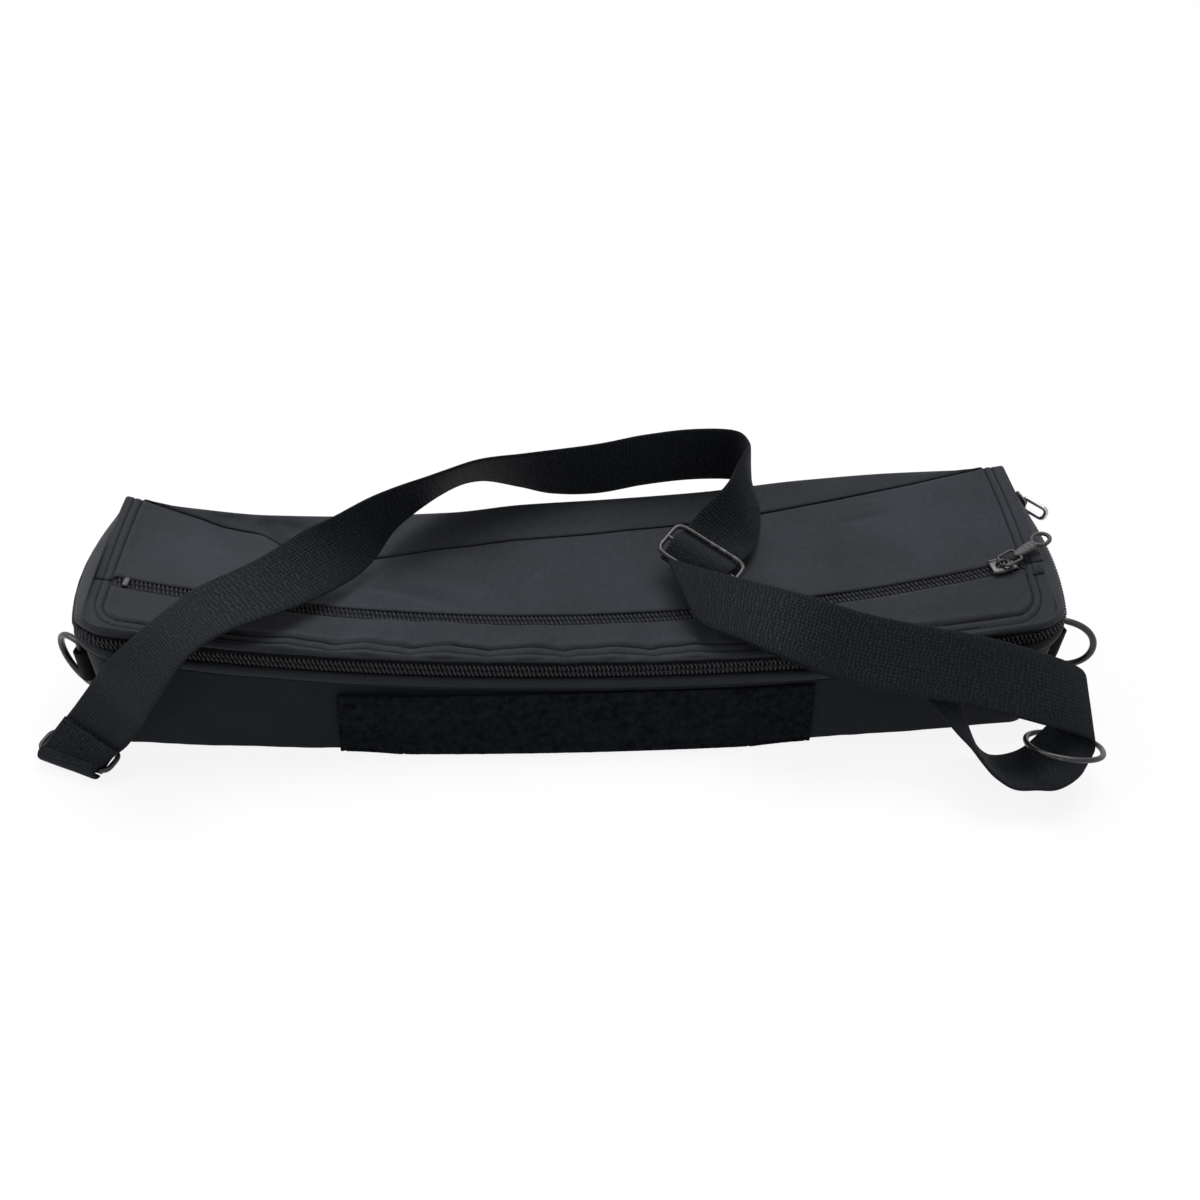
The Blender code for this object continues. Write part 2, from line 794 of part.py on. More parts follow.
def flap_place(u, v):
    """The lid's back, from the line where it bends up to the crest."""
    x = mixed(HALF - GAP, GAP - HALF, u)
    crest = rim_height(x, 1)
    low = min(crest - FLAP_DROP, HINGE_LEVEL + GAP)
    return Vector((x, BACK, mixed(low, crest - SHEET - GAP, v)))


grid("lid_back_flap", flap_place, 34, 1, SHEET, -1.0, LID_CLOTH)


def lid_surface(x, v):
    """The lid's surface from the front seam, v 0, by the zip, v 0.4, to the seam, v 0.9,
    and the crest, v 1."""
    stops = (
        (0.0, front_edge(x)),
        (0.4, zip_edge(x, 0)),
        (0.9, seam_edge(x)),
        (1.0, Vector((x, BACK, rim_height(x, 1)))),
    )
    for a, b in zip(stops, stops[1:]):
        if v <= b[0]:
            return a[1].lerp(b[1], (v - a[0]) / (b[0] - a[0]))
    return stops[-1][1]


def inner_place(u, v):
    inset = INNER_INSET
    x = mixed(-1, 1, u) * (HALF - inset - LID_CORNER_RADIUS / 2)
    point = lid_surface(x, v)
    low = front_edge(x).y + inset + LID_CORNER_RADIUS / 3
    high = BACK - WALL - 2 * GAP
    point.y = mixed(low, high, (point.y - front_edge(x).y) / (BACK - front_edge(x).y))
    point.z -= SHEET + POCKET_ROOM
    return point


grid("lid_inner_panel", inner_place, 24, 5, INNER_PANEL, -1.0, LINING)


def pocket_tape(name, side):
    def put(u, v):
        x = mixed(-1, 1, u if side > 0 else 1 - u) * POCKET_END
        point, along, back, up = pocket_frame(x)
        wide = mixed(TAPE_START, TAPE_END - GAP, v)
        return point + back * side * wide - up * (SHEET + TAPE_DROP)

    return grid(name, put, 26, 1, TAPE, -1.0, ZIP_TAPE)


pocket_tape("pocket_zip_rear_tape", 1)
pocket_tape("pocket_zip_front_tape", -1)


def pocket_coil(name, side, count=36):
    points = []
    for i in range(count + 1):
        x = mixed(-1, 1, i / count) * POCKET_END
        point, along, back, up = pocket_frame(x)
        points.append(point + back * side * COIL_OFFSET + up * POCKET_COIL_LIFT)
    return tube(name, points, COIL_RADIUS, ZIP_COIL, sides=0)


pocket_coil("pocket_zip_rear_coil", 1)
pocket_coil("pocket_zip_front_coil", -1)


def pocket_stop(name, side):
    point, along, back, up = pocket_frame(side * (POCKET_END + STOP_SIZE / 2 + GAP))
    size = (STOP_SIZE, 2 * STOP_SIZE, STOP_SIZE)
    block(name, size, axes(point + up * POCKET_COIL_LIFT, along, back, up), PULL_METAL, GAP)


pocket_stop("pocket_zip_left_stop", -1)
pocket_stop("pocket_zip_right_stop", 1)


# Zip sliders and their pulls.


def slider(name, origin, along, across, up, coil_top, grip, look):
    """A channel that rides over both coils, with a bridge on top for the pull."""
    roof = coil_top + SLIDER_ROOM + SLIDER_PLATE
    flange = SLIDER_ROOM + SLIDER_PLATE + grip
    centre = origin + up * (roof - flange / 2)
    body = block(
        name,
        (SLIDER_LENGTH, SLIDER_WIDTH, flange),
        axes(centre, along, across, up),
        look,
        GAP / 2,
    )
    channel = block(
        name + "_channel",
        (2 * SLIDER_LENGTH, CHANNEL_WIDTH, flange),
        axes(centre - up * SLIDER_PLATE, along, across, up),
        None,
        folder=CUTTERS,
    )
    boolean(body, channel, "DIFFERENCE")
    bridge = block(
        name + "_bridge",
        (BRIDGE_LENGTH, BRIDGE_WIDTH, BRIDGE_HEIGHT),
        axes(origin + up * (roof - SLIDER_PLATE / 2 + BRIDGE_HEIGHT / 2), along, across, up),
        None,
        folder=CUTTERS,
    )
    hole = block(
        name + "_hole",
        (PIN_HOLE, 2 * BRIDGE_WIDTH, PIN_HOLE),
        axes(origin + up * (roof + SLIDER_PLATE / 8 + PIN_HOLE / 2), along, across, up),
        None,
        folder=CUTTERS,
    )
    boolean(body, bridge, "UNION")
    boolean(body, hole, "DIFFERENCE")
    return origin + up * (roof + SLIDER_PLATE / 8 + PIN_HOLE / 2)


def rounded_loop(origin, along, across, length, width, corner, turns=4):
    """A closed path: a rectangle with rounded corners, its near bar at the origin."""
    points = []
    for cx, cy, start in (
        (length - corner, width / 2 - corner, 0),
        (corner, width / 2 - corner, 1),
        (corner, corner - width / 2, 2),
        (length - corner, corner - width / 2, 3),
    ):
        for i in range(turns + 1):
            turn = (start + i / turns) * math.pi / 2
            x = cx + corner * math.cos(turn)
            y = cy + corner * math.sin(turn)
            points.append(origin + along * x + across * y)
    return points


POCKET_SLIDER_X = 0.190
point, along, back, up = pocket_frame(POCKET_SLIDER_X)
hole = slider("pocket_slider", point, along, back, up, POCKET_COIL_LIFT + COIL_RADIUS, GAP, BLACK_METAL)
link_along = Vector((0.90, 0.45, 0.13)).normalized()
link_across = up.cross(link_along).normalized()
tube(
    "pocket_pull_link",
    rounded_loop(hole, link_along, link_across, LINK_LENGTH, LINK_WIDTH, LINK_WIDTH / 6),
    PULL_WIRE,
    BLACK_METAL,
    cyclic=True,
    sides=1,
)
tab_along = Vector((0.84, 0.55, 0.068)).normalized()
tab_across = up.cross(tab_along).normalized()
tab_up = tab_along.cross(tab_across)
TAB_START = hole + link_along * LINK_LENGTH
tab_centre = TAB_START + tab_along * (TAB_LENGTH / 2 - TAB_EYE)
tab = block(
    "pocket_pull_tab",
    (TAB_LENGTH, TAB_WIDTH, TAB_THICKNESS),
    axes(tab_centre, tab_along, tab_across, tab_up),
    PULL_RUBBER,
    TAB_THICKNESS / 4,
)
eye = block(
    "pocket_pull_tab_eye",
    (TAB_EYE, 2 * TAB_WIDTH, TAB_EYE),
    axes(TAB_START, tab_along, tab_across, tab_up),
    None,
    folder=CUTTERS,
)
boolean(tab, eye, "DIFFERENCE")

# The main slider rides on the right end wall's arc.
MAIN_SLIDER_RUN = 4.82
here = on_wall(MAIN_SLIDER_RUN, ZIP_LEVEL)
ahead = on_wall(MAIN_SLIDER_RUN + 0.01, ZIP_LEVEL)
behind = on_wall(MAIN_SLIDER_RUN - 0.01, ZIP_LEVEL)
main_along = (ahead - behind).normalized()
main_out = main_along.cross(Z).normalized()
main_up = main_out.cross(main_along).normalized()
main_hole = slider("main_slider", here, main_along, main_up, main_out, COIL_OUT + COIL_RADIUS, -GAP / 2, BLACK_METAL)
pull_along = (main_out * 0.45 - main_along * 0.87).normalized()
pull_along = (pull_along - main_up * pull_along.dot(main_up)).normalized()
tube(
    "main_pull",
    rounded_loop(main_hole, pull_along, main_up, MAIN_PULL_LENGTH, MAIN_PULL_WIDTH, MAIN_PULL_WIDTH / 3),
    PULL_WIRE,
    PULL_METAL,
    cyclic=True,
    sides=1,
)


# The D-rings on the end walls and the webbing tabs that hold them.


def ring_frame(side, middle_z):
    run = 1 - RING_BACK / (DEPTH - CORNER_RADIUS)
    run = run if side < 0 else 5 - run
    share = middle_z / rim_of(run)
    foot = on_wall(run, share)
    level = min(max(share, 0), 1)
    out_point = outline(run, level, RING_OUT)
    inner = outline(run, level)
    outward = (out_point - inner).normalized()
    centre = Vector((out_point.x, out_point.y, foot.z))
    backward = Z.cross(outward) if side < 0 else outward.cross(Z)
    backward = backward if backward.y > 0 else -backward
    return centre, outward, backward.normalized(), run


def d_ring(name, side, middle_z, toward_back):
    centre, outward, backward, run = ring_frame(side, middle_z)
    turn = math.radians(toward_back)
    lean = X * side * math.cos(turn) + Y * math.sin(turn)
    points = []
    steps = 14
    for i in range(steps + 1):
        angle = math.pi * (i / steps - 0.5)
        points.append(
            centre + lean * RING_BOW * math.cos(angle) ** 0.8 + Z * RING_BAR / 2 * math.sin(angle)
        )
    inner = 5
    for i in range(1, inner):
        points.append(centre + Z * RING_BAR * (0.5 - i / inner))
    return tube(name, points, RING_WIRE, BLACK_METAL, cyclic=True, sides=2)


def ring_tab(name, side, middle_z):
    """Webbing folded round the ring's bar, both legs running back along the wall."""
    centre, outward, backward, run = ring_frame(side, middle_z)
    radius = RING_WIRE + RING_TAB_ROOM + RING_TAB_THICKNESS / 2
    half = RING_TAB_THICKNESS / 2
    path = [(RING_TAB_LEG, -radius), (RING_TAB_LEG * 0.5, -radius)]
    steps = 8
    for i in range(steps + 1):
        turn = math.pi * (1.5 - i / steps)
        path.append((radius * math.cos(turn), radius * math.sin(turn)))
    path.append((RING_TAB_LEG * 0.45, -radius + 2 * half + 2 * GAP + radius * 0.5))
    path.append((RING_TAB_LEG * 0.65, -radius + 2 * half + 2 * GAP))
    path.append((RING_TAB_LEG, -radius + 2 * half + 2 * GAP))

    def put(u, v):
        spot = u * (len(path) - 1)
        i = min(int(spot + 1e-6), len(path) - 2)
        t = spot - i
        back = mixed(path[i][0], path[i + 1][0], t)
        out = mixed(path[i][1], path[i + 1][1], t)
        height = middle_z + TAB_HEIGHT * (v - 0.5)
        straight = centre + backward * back + outward * out
        if back <= 0:
            return Vector((straight.x, straight.y, height))
        far = run + side * back / (DEPTH - CORNER_RADIUS)
        follow = side_point(far, height, RING_OUT + out)
        share = min(back / (RING_TAB_LEG * 0.45), 1)
        return Vector((mixed(straight.x, follow.x, share), mixed(straight.y, follow.y, share), height))

    return grid(name, put, len(path) - 1, 1, RING_TAB_THICKNESS, 0.0, WEB)


LEFT_RING_Z = 0.0255
RIGHT_RING_Z = 0.0255
d_ring("left_d_ring", -1, LEFT_RING_Z, 40)
d_ring("right_d_ring", 1, RIGHT_RING_Z, -20)
ring_tab("left_ring_tab", -1, LEFT_RING_Z)
ring_tab("right_ring_tab", 1, RIGHT_RING_Z)


# The strap: its long run, the sewn left end, the top run with its fold, the slack loop
# on the table and the run beneath.

LONG_RUN = placed(LONG_RUN_SHARES)


# The three-bar slide where the strap doubles back: the long run passes under its sides
# and over its middle bar.
GLIDE_SHARES = (0.2800, -0.0200, 0.970)
glide_centre = Vector((GLIDE_SHARES[0] * HALF, GLIDE_SHARES[1] * BACK, GLIDE_SHARES[2] * HEIGHT))
glide_across = Vector((0.78, -0.59, -0.20)).normalized()
glide_along = Vector((-0.62, -0.77, -0.15))
glide_along = (glide_along - glide_across * glide_along.dot(glide_across)).normalized()
glide_up = glide_along.cross(glide_across)
weave = GLIDE_WIRE + STRAP_THICKNESS / 2 + 3 * GAP
for along_share, up_share in ((-1.6, -1.1), (-1.0, -1.0), (0.0, 1.0), (0.92, -0.78), (1.08, -0.5)):
    spot = glide_centre + glide_along * GLIDE_WIDTH / 2 * along_share + glide_up * weave * up_share
    LONG_RUN.append((spot, glide_across))

ribbon("strap_long_run", LONG_RUN, 96, WEB)
ribbon("strap_top_run", placed(TOP_RUN_SHARES), 28, WEB)
ribbon("strap_slack_loop", placed(LOOP_RUN_SHARES), 38, WEB)
ribbon("strap_under_run", placed(UNDER_RUN_SHARES), 12, WEB)

FOLD_CENTRE_SHARES = (-1.066, -1.262, 0.068)
fold_across = Vector((0.91, -0.41, 0.0)).normalized()
fold_back = Vector((0.41, 0.91, 0.0)).normalized()
fold_centre = Vector(
    (FOLD_CENTRE_SHARES[0] * HALF, FOLD_CENTRE_SHARES[1] * BACK, FOLD_CENTRE_SHARES[2] * HEIGHT)
)


def end_place(u, v):
    """From the cut edge down the top of the long run and round the loop's bar."""
    bend = 0.62
    if u < bend:
        at = mixed(0.088, 0.0245, u / bend)
        centre, across = spline_at(LONG_RUN, at)
        before = spline_at(LONG_RUN, at - 0.004)[0]
        after = spline_at(LONG_RUN, at + 0.004)[0]
        normal = across.cross(after - before).normalized()
        lift = mixed(END_LAP, 2 * FOLD_RADIUS, (u / bend) ** 2)
        return centre + normal * lift + across * WEBBING * (v - 0.5)
    turn = (u - bend) / (1 - bend) * math.pi
    point = fold_centre + Z * FOLD_RADIUS * math.cos(turn) - fold_back * FOLD_RADIUS * math.sin(turn)
    return point + fold_across * WEBBING * (v - 0.5)


grid("strap_left_end", end_place, 22, 2, STRAP_THICKNESS, 0.0, WEB)


def oval_loop(name, centre, first, second, length, width, power, look, count=26):
    """A wire loop, from an oval to a rectangle with round corners."""
    points = []
    for i in range(count):
        turn = 2 * math.pi * i / count
        x = math.copysign(abs(math.cos(turn)) ** power, math.cos(turn)) * length / 2
        y = math.copysign(abs(math.sin(turn)) ** power, math.sin(turn)) * width / 2
        points.append(centre + first * x + second * y)
    return tube(name, points, LOOP_WIRE, look, cyclic=True, sides=1)


left_loop_centre = fold_centre + fold_back * LEFT_LOOP_WIDTH / 2
oval_loop(
    "left_strap_loop",
    left_loop_centre,
    fold_across,
    fold_back,
    LEFT_LOOP_LENGTH,
    LEFT_LOOP_WIDTH,
    0.5,
    BLACK_METAL,
)
RIGHT_LOOP_SHARES = (0.9985, -1.546, 0.297)
right_loop_centre = Vector(
    (RIGHT_LOOP_SHARES[0] * HALF, RIGHT_LOOP_SHARES[1] * BACK, RIGHT_LOOP_SHARES[2] * HEIGHT)
)
right_first = Vector((0.95, -0.30, 0.10)).normalized()
right_second = Vector((0.31, 0.81, -0.50))
right_second = (right_second - right_first * right_second.dot(right_first)).normalized()
oval_loop(
    "right_strap_loop",
    right_loop_centre,
    right_first,
    right_second,
    RIGHT_LOOP_LENGTH,
    RIGHT_LOOP_WIDTH,
    0.9,
    BLACK_METAL,
)


def hook(side, origin, along, across):
    """A spring hook on a loop: an eye round the loop's wire, a hook and its gate."""
    along = along.normalized()
    across = (across - along * across.dot(along)).normalized()
    thin = along.cross(across)
    eye = []
    for i in range(12):
        turn = 2 * math.pi * i / 12
        eye.append(origin + along * HOOK_EYE * math.cos(turn) + thin * HOOK_EYE * math.sin(turn))
    ring = tube(side + "_hook_eye", eye, HOOK_WIRE * 0.8, BLACK_METAL, cyclic=True, sides=1)
    ring = as_mesh(ring, None, CUTTERS)
    half = HOOK_WIDTH / 2
    start = HOOK_EYE * 1.05
    shares = (
        (0.20, 0.96),
        (0.09, 0.62),
        (0.0, 0.0),
        (0.09, -0.62),
        (0.20, -0.96),
        (0.40, -1.0),
        (0.72, -1.0),
        (0.89, -0.72),
        (0.98, 0.0),
        (0.89, 0.72),
        (0.75, 0.98),
    )
    path = [
        origin + along * (start + share[0] * HOOK_LENGTH) + across * half * share[1]
        for share in shares
    ]
    body = tube(side + "_hook_body", path, HOOK_WIRE, BLACK_METAL, sides=1)
    body = as_mesh(body, BLACK_METAL)
    boolean(body, ring, "UNION")
    room = HOOK_WIRE * 0.7
    foot = origin + along * (start + 0.20 * HOOK_LENGTH + HOOK_WIRE * 1.1) + across * half
    head = origin + along * (start + 0.75 * HOOK_LENGTH - room) + across * half
    tube(side + "_hook_gate", [foot, foot.lerp(head, 0.5), head], HOOK_GATE_WIRE, BLACK_METAL, sides=2)
    return foot, thin


hook(
    "left",
    left_loop_centre + fold_back * LEFT_LOOP_WIDTH / 2,
    Vector((0.62, 0.10, 0.78)),
    Vector((0.80, -0.53, -0.28)),
)
hook(
    "right",
    right_loop_centre + right_second * RIGHT_LOOP_WIDTH / 2,
    Vector((0.10, 0.50, 0.86)),
    right_first,
)

glide = oval_loop(
    "strap_slide",
    glide_centre,
    glide_across,
    glide_along,
    GLIDE_LENGTH,
    GLIDE_WIDTH,
    0.3,
    BLACK_METAL,
    count=28,
)
glide = as_mesh(glide, BLACK_METAL)
bar_reach = glide_across * GLIDE_LENGTH / 2
bar = tube(
    "strap_slide_bar",
    [glide_centre - bar_reach, glide_centre, glide_centre + bar_reach],
    GLIDE_WIRE * 0.9,
    BLACK_METAL,
    sides=2,
)
bar = as_mesh(bar, None, CUTTERS)
boolean(glide, bar, "UNION")
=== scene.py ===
"""The looks of a soft bag for a flute case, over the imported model.

The cloth, the zips, the webbing and the metal are made here as finer pieces
that stand for the model's nodes. The bag's shape comes from the same shares and
lengths as the model's source. Metres, +X to the bag's right end, +Y to its
back, +Z up, the origin in the middle of the bottom face.
"""

import math

import bmesh
import bpy
from mathutils import Matrix, Vector, noise


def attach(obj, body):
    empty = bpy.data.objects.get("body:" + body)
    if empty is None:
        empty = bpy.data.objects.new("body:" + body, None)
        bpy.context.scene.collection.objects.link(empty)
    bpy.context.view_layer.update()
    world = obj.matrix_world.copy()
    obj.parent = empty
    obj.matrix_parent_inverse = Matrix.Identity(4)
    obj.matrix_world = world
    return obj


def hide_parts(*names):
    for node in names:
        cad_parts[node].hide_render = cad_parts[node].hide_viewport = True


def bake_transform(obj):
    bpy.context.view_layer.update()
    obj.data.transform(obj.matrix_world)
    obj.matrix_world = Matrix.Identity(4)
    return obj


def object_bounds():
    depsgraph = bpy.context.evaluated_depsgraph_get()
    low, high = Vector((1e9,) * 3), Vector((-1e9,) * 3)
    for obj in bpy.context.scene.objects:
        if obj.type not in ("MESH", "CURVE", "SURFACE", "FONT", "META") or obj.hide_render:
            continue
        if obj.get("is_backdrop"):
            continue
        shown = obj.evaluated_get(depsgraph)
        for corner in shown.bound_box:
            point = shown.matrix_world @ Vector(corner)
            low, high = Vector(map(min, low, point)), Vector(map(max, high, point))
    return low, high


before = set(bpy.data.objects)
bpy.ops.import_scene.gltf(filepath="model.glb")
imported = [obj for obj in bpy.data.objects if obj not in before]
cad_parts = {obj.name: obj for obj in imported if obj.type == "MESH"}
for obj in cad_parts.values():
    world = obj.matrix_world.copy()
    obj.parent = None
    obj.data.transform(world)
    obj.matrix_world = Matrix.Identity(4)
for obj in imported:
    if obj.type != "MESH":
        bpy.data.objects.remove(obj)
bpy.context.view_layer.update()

# The bag, as in the model's source
LENGTH = 0.414
DEPTH = 0.104
HEIGHT = 0.060
CORNER_RADIUS = 0.012
LID_CORNER_RADIUS = 0.008
END_TWIST = 0.0047
FRONT_LEAN = 0.011
BASE_BOW = 0.0095
RIM_BOW = 0.0055
FRONT_SAG = 0.0165
BACK_SAG = 0.016
END_BOW = 0.010
SEAM_INSET = 0.028
GAP = 0.0004
BASE_THICKNESS = 0.0025
BASE_PAD = 0.0028
WALL = 0.0035
SHEET = 0.0012
INNER_PANEL = 0.003
POCKET_ROOM = 0.0038
INNER_INSET = 0.0028
BACK_DROP = 0.0042
HINGE_LEVEL = 0.0458
SAG_POWER = 2.3
ZIP_LEVEL = 0.86

# Zips
COIL_RADIUS = 0.0013
COIL_OFFSET = 0.00145
COIL_OUT = 0.0006
POCKET_COIL_LIFT = -0.0007
PANEL_EDGE = 0.0036
TAPE_END = 0.0075
WALL_TOP = 0.0078
BINDING_TOP = 0.0036
BINDING_BOTTOM = 0.0088
POCKET_ARC_RADIUS = 0.965
POCKET_MIDDLE_Y = -0.0248
POCKET_MIDDLE_Z = 0.0447
POCKET_COIL_END = 0.2005
POCKET_TAPE_END = 0.2064
ZIP_MOUTH = 0.0029
ZIP_MOUTH_END = 0.2014
ZIP_START = 0.13
COIL_PITCH = 0.0019
COIL_WIRE = 0.00036
COIL_STEPS = 9
COIL_RISE = 0.82
COIL_REACH = 0.986
COIL_SHARP = 80
MAIN_COIL = (0.00118, 0.00085)
MAIN_ZIP_LENGTH = 0.612
POCKET_COIL = (0.00120, 0.00066)
POCKET_COIL_SINK = 0.0006
POCKET_TAPE_SINK = 0.0014
TAPE_SHEET = 0.0005
TAPE_OUT = -0.0009
TAPE_EDGE = 0.0003
UPPER_TAPE_DROP = 0.0020
BINDING_SEAM = 0.0010
BINDING_SWAY = (0.020, 0.0005)
BINDING_SLIM = 0.66
PUFF_START = -0.095
PUFF_END = -0.03
PUFF_DEPTH = 0.0013
PUFF_WAVE = 0.0034
ZIP_MOUTH_TAPER = 0.0025
ZIP_SLIT = 0.00003
SLIDER_LENGTH = 0.0095
SLIDER_WIDTH = 0.0088
SLIDER_PLATE = 0.001
SLIDER_ROOM = 0.0005
CHANNEL_WIDTH = 0.0064
PIN_HOLE = 0.0024
PULL_WIRE = 0.00065
LINK_LENGTH = 0.009
LINK_WIDTH = 0.0068
TAB_LENGTH = 0.019
TAB_WIDTH = 0.0042
TAB_THICKNESS = 0.0028
TAB_EYE = 0.0021
MAIN_PULL_LENGTH = 0.016
MAIN_PULL_WIDTH = 0.0062
POCKET_SLIDER_X = 0.190
MAIN_SLIDER_RUN = 4.82
SLIDER_CROWN = (0.0005, 0.0003)
SLIDER_ROUND = 0.00025
BRIDGE_WIRE = 0.00062
BRIDGE_REACH = 0.0022
BRIDGE_RISE = 0.0034
BRIDGE_SUNK = 0.0007
TAB_STRIP = 0.72
TAB_EYE_WIRE = 0.00095
TAB_EYE_SIZE = (0.0088, 0.0070)
TAB_EYE_AT = 0.80
MAIN_PULL_SHOWN = 0.75
MAIN_PULL_WIRE = 0.001105

# Handle, rings and strap
HANDLE_LENGTH = 0.208
HANDLE_WIDTH = 0.0275
HANDLE_THICKNESS = 0.0018
HANDLE_FOOT = 0.0008
HANDLE_SLACK = 0.0015
HANDLE_BOX = 0.028
WEBBING = 0.030
STRAP_THICKNESS = 0.0016
RING_WIRE = 0.0015
RING_BAR = 0.027
RING_BOW = 0.0165
RING_OUT = 0.0059
RING_BACK = 0.0108
TAB_HEIGHT = 0.017
RING_TAB_THICKNESS = 0.001
RING_TAB_ROOM = 0.0009
RING_TAB_LEG = 0.016
RING_LEVEL = 0.0255
LOOP_WIRE = 0.0012
LEFT_LOOP_LENGTH = 0.0358
LEFT_LOOP_WIDTH = 0.0130
RIGHT_LOOP_LENGTH = 0.0306
RIGHT_LOOP_WIDTH = 0.0342
FOLD_RADIUS = 0.0027
END_LAP = 0.0022
END_BEND = 0.62
END_SPAN = (0.088, 0.0245)
RUN_STEP = 0.004
HOOK_WIRE = 0.0015
HOOK_GATE_WIRE = 0.0012
HOOK_EYE = 0.0031
HOOK_LENGTH = 0.0225
HOOK_WIDTH = 0.0092
GATE_FOOT = 0.20
GATE_HEAD = 0.75
GLIDE_LENGTH = 0.0362
GLIDE_WIDTH = 0.0185
GLIDE_WIRE = 0.0011
BOX_SIDE = 0.002
BOX_FOOT = 0.0025
STITCH_DEPTH = 0.0004
CROSS_SLOPE = 0.018
PILE_DEPTH = 0.00016

# The cloths' turned edges, the base and the linings
BASE_ROLL = 0.0014
CREST_ROUND = 0.0022
BACK_ROLL = (0.0012, 0.0006)
FRONT_ROLL = (0.0010, 0.0007)
GUSSET_ROLL = (0.0008, 0.0005)
FRONT_LAP = 0.12
SIDE_TURN = 0.16
BACK_TURN = 0.08
CREST_START = 0.55
CREST_END = 0.65
CLOTH_ROOM = 0.0002
RELIEF_FADE = 0.006
BASE_LIFT = 0.00035
BASE_FRONT_IN = 0.0026
BASE_BACK_IN = 0.0012
BASE_END_IN = 0.0022
BACK_LINING = 0.0016
LINING_FOOT = 0.0035
LINING_SHEET = 0.0011
LINING_RISE = 0.0012
QUILT_DEPTH = 0.0010
QUILT_SQUARES = (7, 2)
GUSSET_BULGE = (0.0010, 0.0003)
TURN_START = 0.975

# Seams and folds of the lid's cloth
LEFT_END_SEAM = 0.0068
RIGHT_END_SEAM = 0.0088
SEAM_CORNER = 0.009
SEAM_WIDTH = 0.0007
SEAM_DEPTH = 0.0009
SECOND_SEAM = 0.0036
FRONT_SEAM = 0.0052
STITCH = 0.0021
STITCH_GAP = 0.0012
THREAD = 0.00022
CORNER_LIFT = 0.0026
FOLD_STRENGTH = 1.7
WRAP_OUT = 0.0012
WRAP_DROP = 0.0016

BACK_SAG_SHARES = (
    (-1.0, 0.0),
    (-0.85, 0.45),
    (-0.69, 0.8),
    (-0.45, 0.97),
    (-0.27, 0.95),
    (-0.1, 0.74),
    (0.08, 0.66),
    (0.31, 0.5),
    (0.54, 0.18),
    (0.77, 0.02),
    (1.0, 0.0),
)
SEAM_INSET_SHARES = (
    (-1.0, 0.02),
    (-0.73, 0.43),
    (-0.47, 1.0),
    (-0.26, 0.82),
    (-0.04, 0.8),
    (0.35, 0.69),
    (0.45, 0.66),
    (1.0, 0.02),
)
BULGE_SHARES = ((0.0, 0.0), (0.4, 0.62), (0.78, 1.0), (0.92, 1.0), (1.0, 0.2))
LONG_RUN_SHARES = (
    ((-1.064, -1.245, 0.025), (0.91, -0.41, 0.0)),
    ((-1.054, -1.185, 0.06), (0.91, -0.42, -0.02)),
    ((-1.033, -1.15, 0.165), (0.88, -0.46, -0.12)),
    ((-0.99, -1.15, 0.345), (0.8, -0.53, -0.28)),
    ((-0.949, -1.125, 0.535), (0.72, -0.6, -0.33)),
    ((-0.908, -1.154, 0.76), (0.66, -0.68, -0.3)),
    ((-0.857, -1.119, 0.965), (0.62, -0.77, -0.13)),
    ((-0.8045, -0.953, 1.09), (0.58, -0.81, 0.04)),
    ((-0.739, -0.676, 1.09), (0.6, -0.79, -0.06)),
    ((-0.6215, -0.326, 1.045), (0.64, -0.715, -0.27)),
    ((-0.5405, -0.031, 1.028), (0.62, -0.52, -0.57)),
    ((-0.475, 0.232, 1.015), (0.5, -0.1, -0.84)),
    ((-0.401, 0.596, 1.03), (0.2, 0.3, -0.93)),
    ((-0.291, 0.904, 1.07), (0.15, 0.57, -0.8)),
    ((-0.198, 1.104, 1.06), (0.0, 0.54, -0.84)),
    ((-0.102, 1.135, 1.03), (-0.05, 0.35, -0.93)),
    ((-0.019, 1.13, 1.017), (-0.08, 0.12, -0.99)),
    ((0.078, 1.13, 1.04), (0.0, 0.0, -1.0)),
    ((0.175, 1.135, 1.11), (0.05, 0.0, -1.0)),
    ((0.267, 1.154, 1.142), (0.05, 0.0, -1.0)),
    ((0.348, 1.154, 1.15), (0.1, 0.0, -1.0)),
    ((0.398, 1.115, 1.15), (0.1, 0.05, -0.99)),
    ((0.4155, 0.981, 1.175), (0.15, 0.25, -0.95)),
    ((0.4082, 0.827, 1.2), (0.25, 0.2, -0.95)),
    ((0.401, 0.615, 1.17), (0.43, -0.1, -0.9)),
    ((0.3768, 0.385, 1.09), (0.55, -0.35, -0.76)),
)
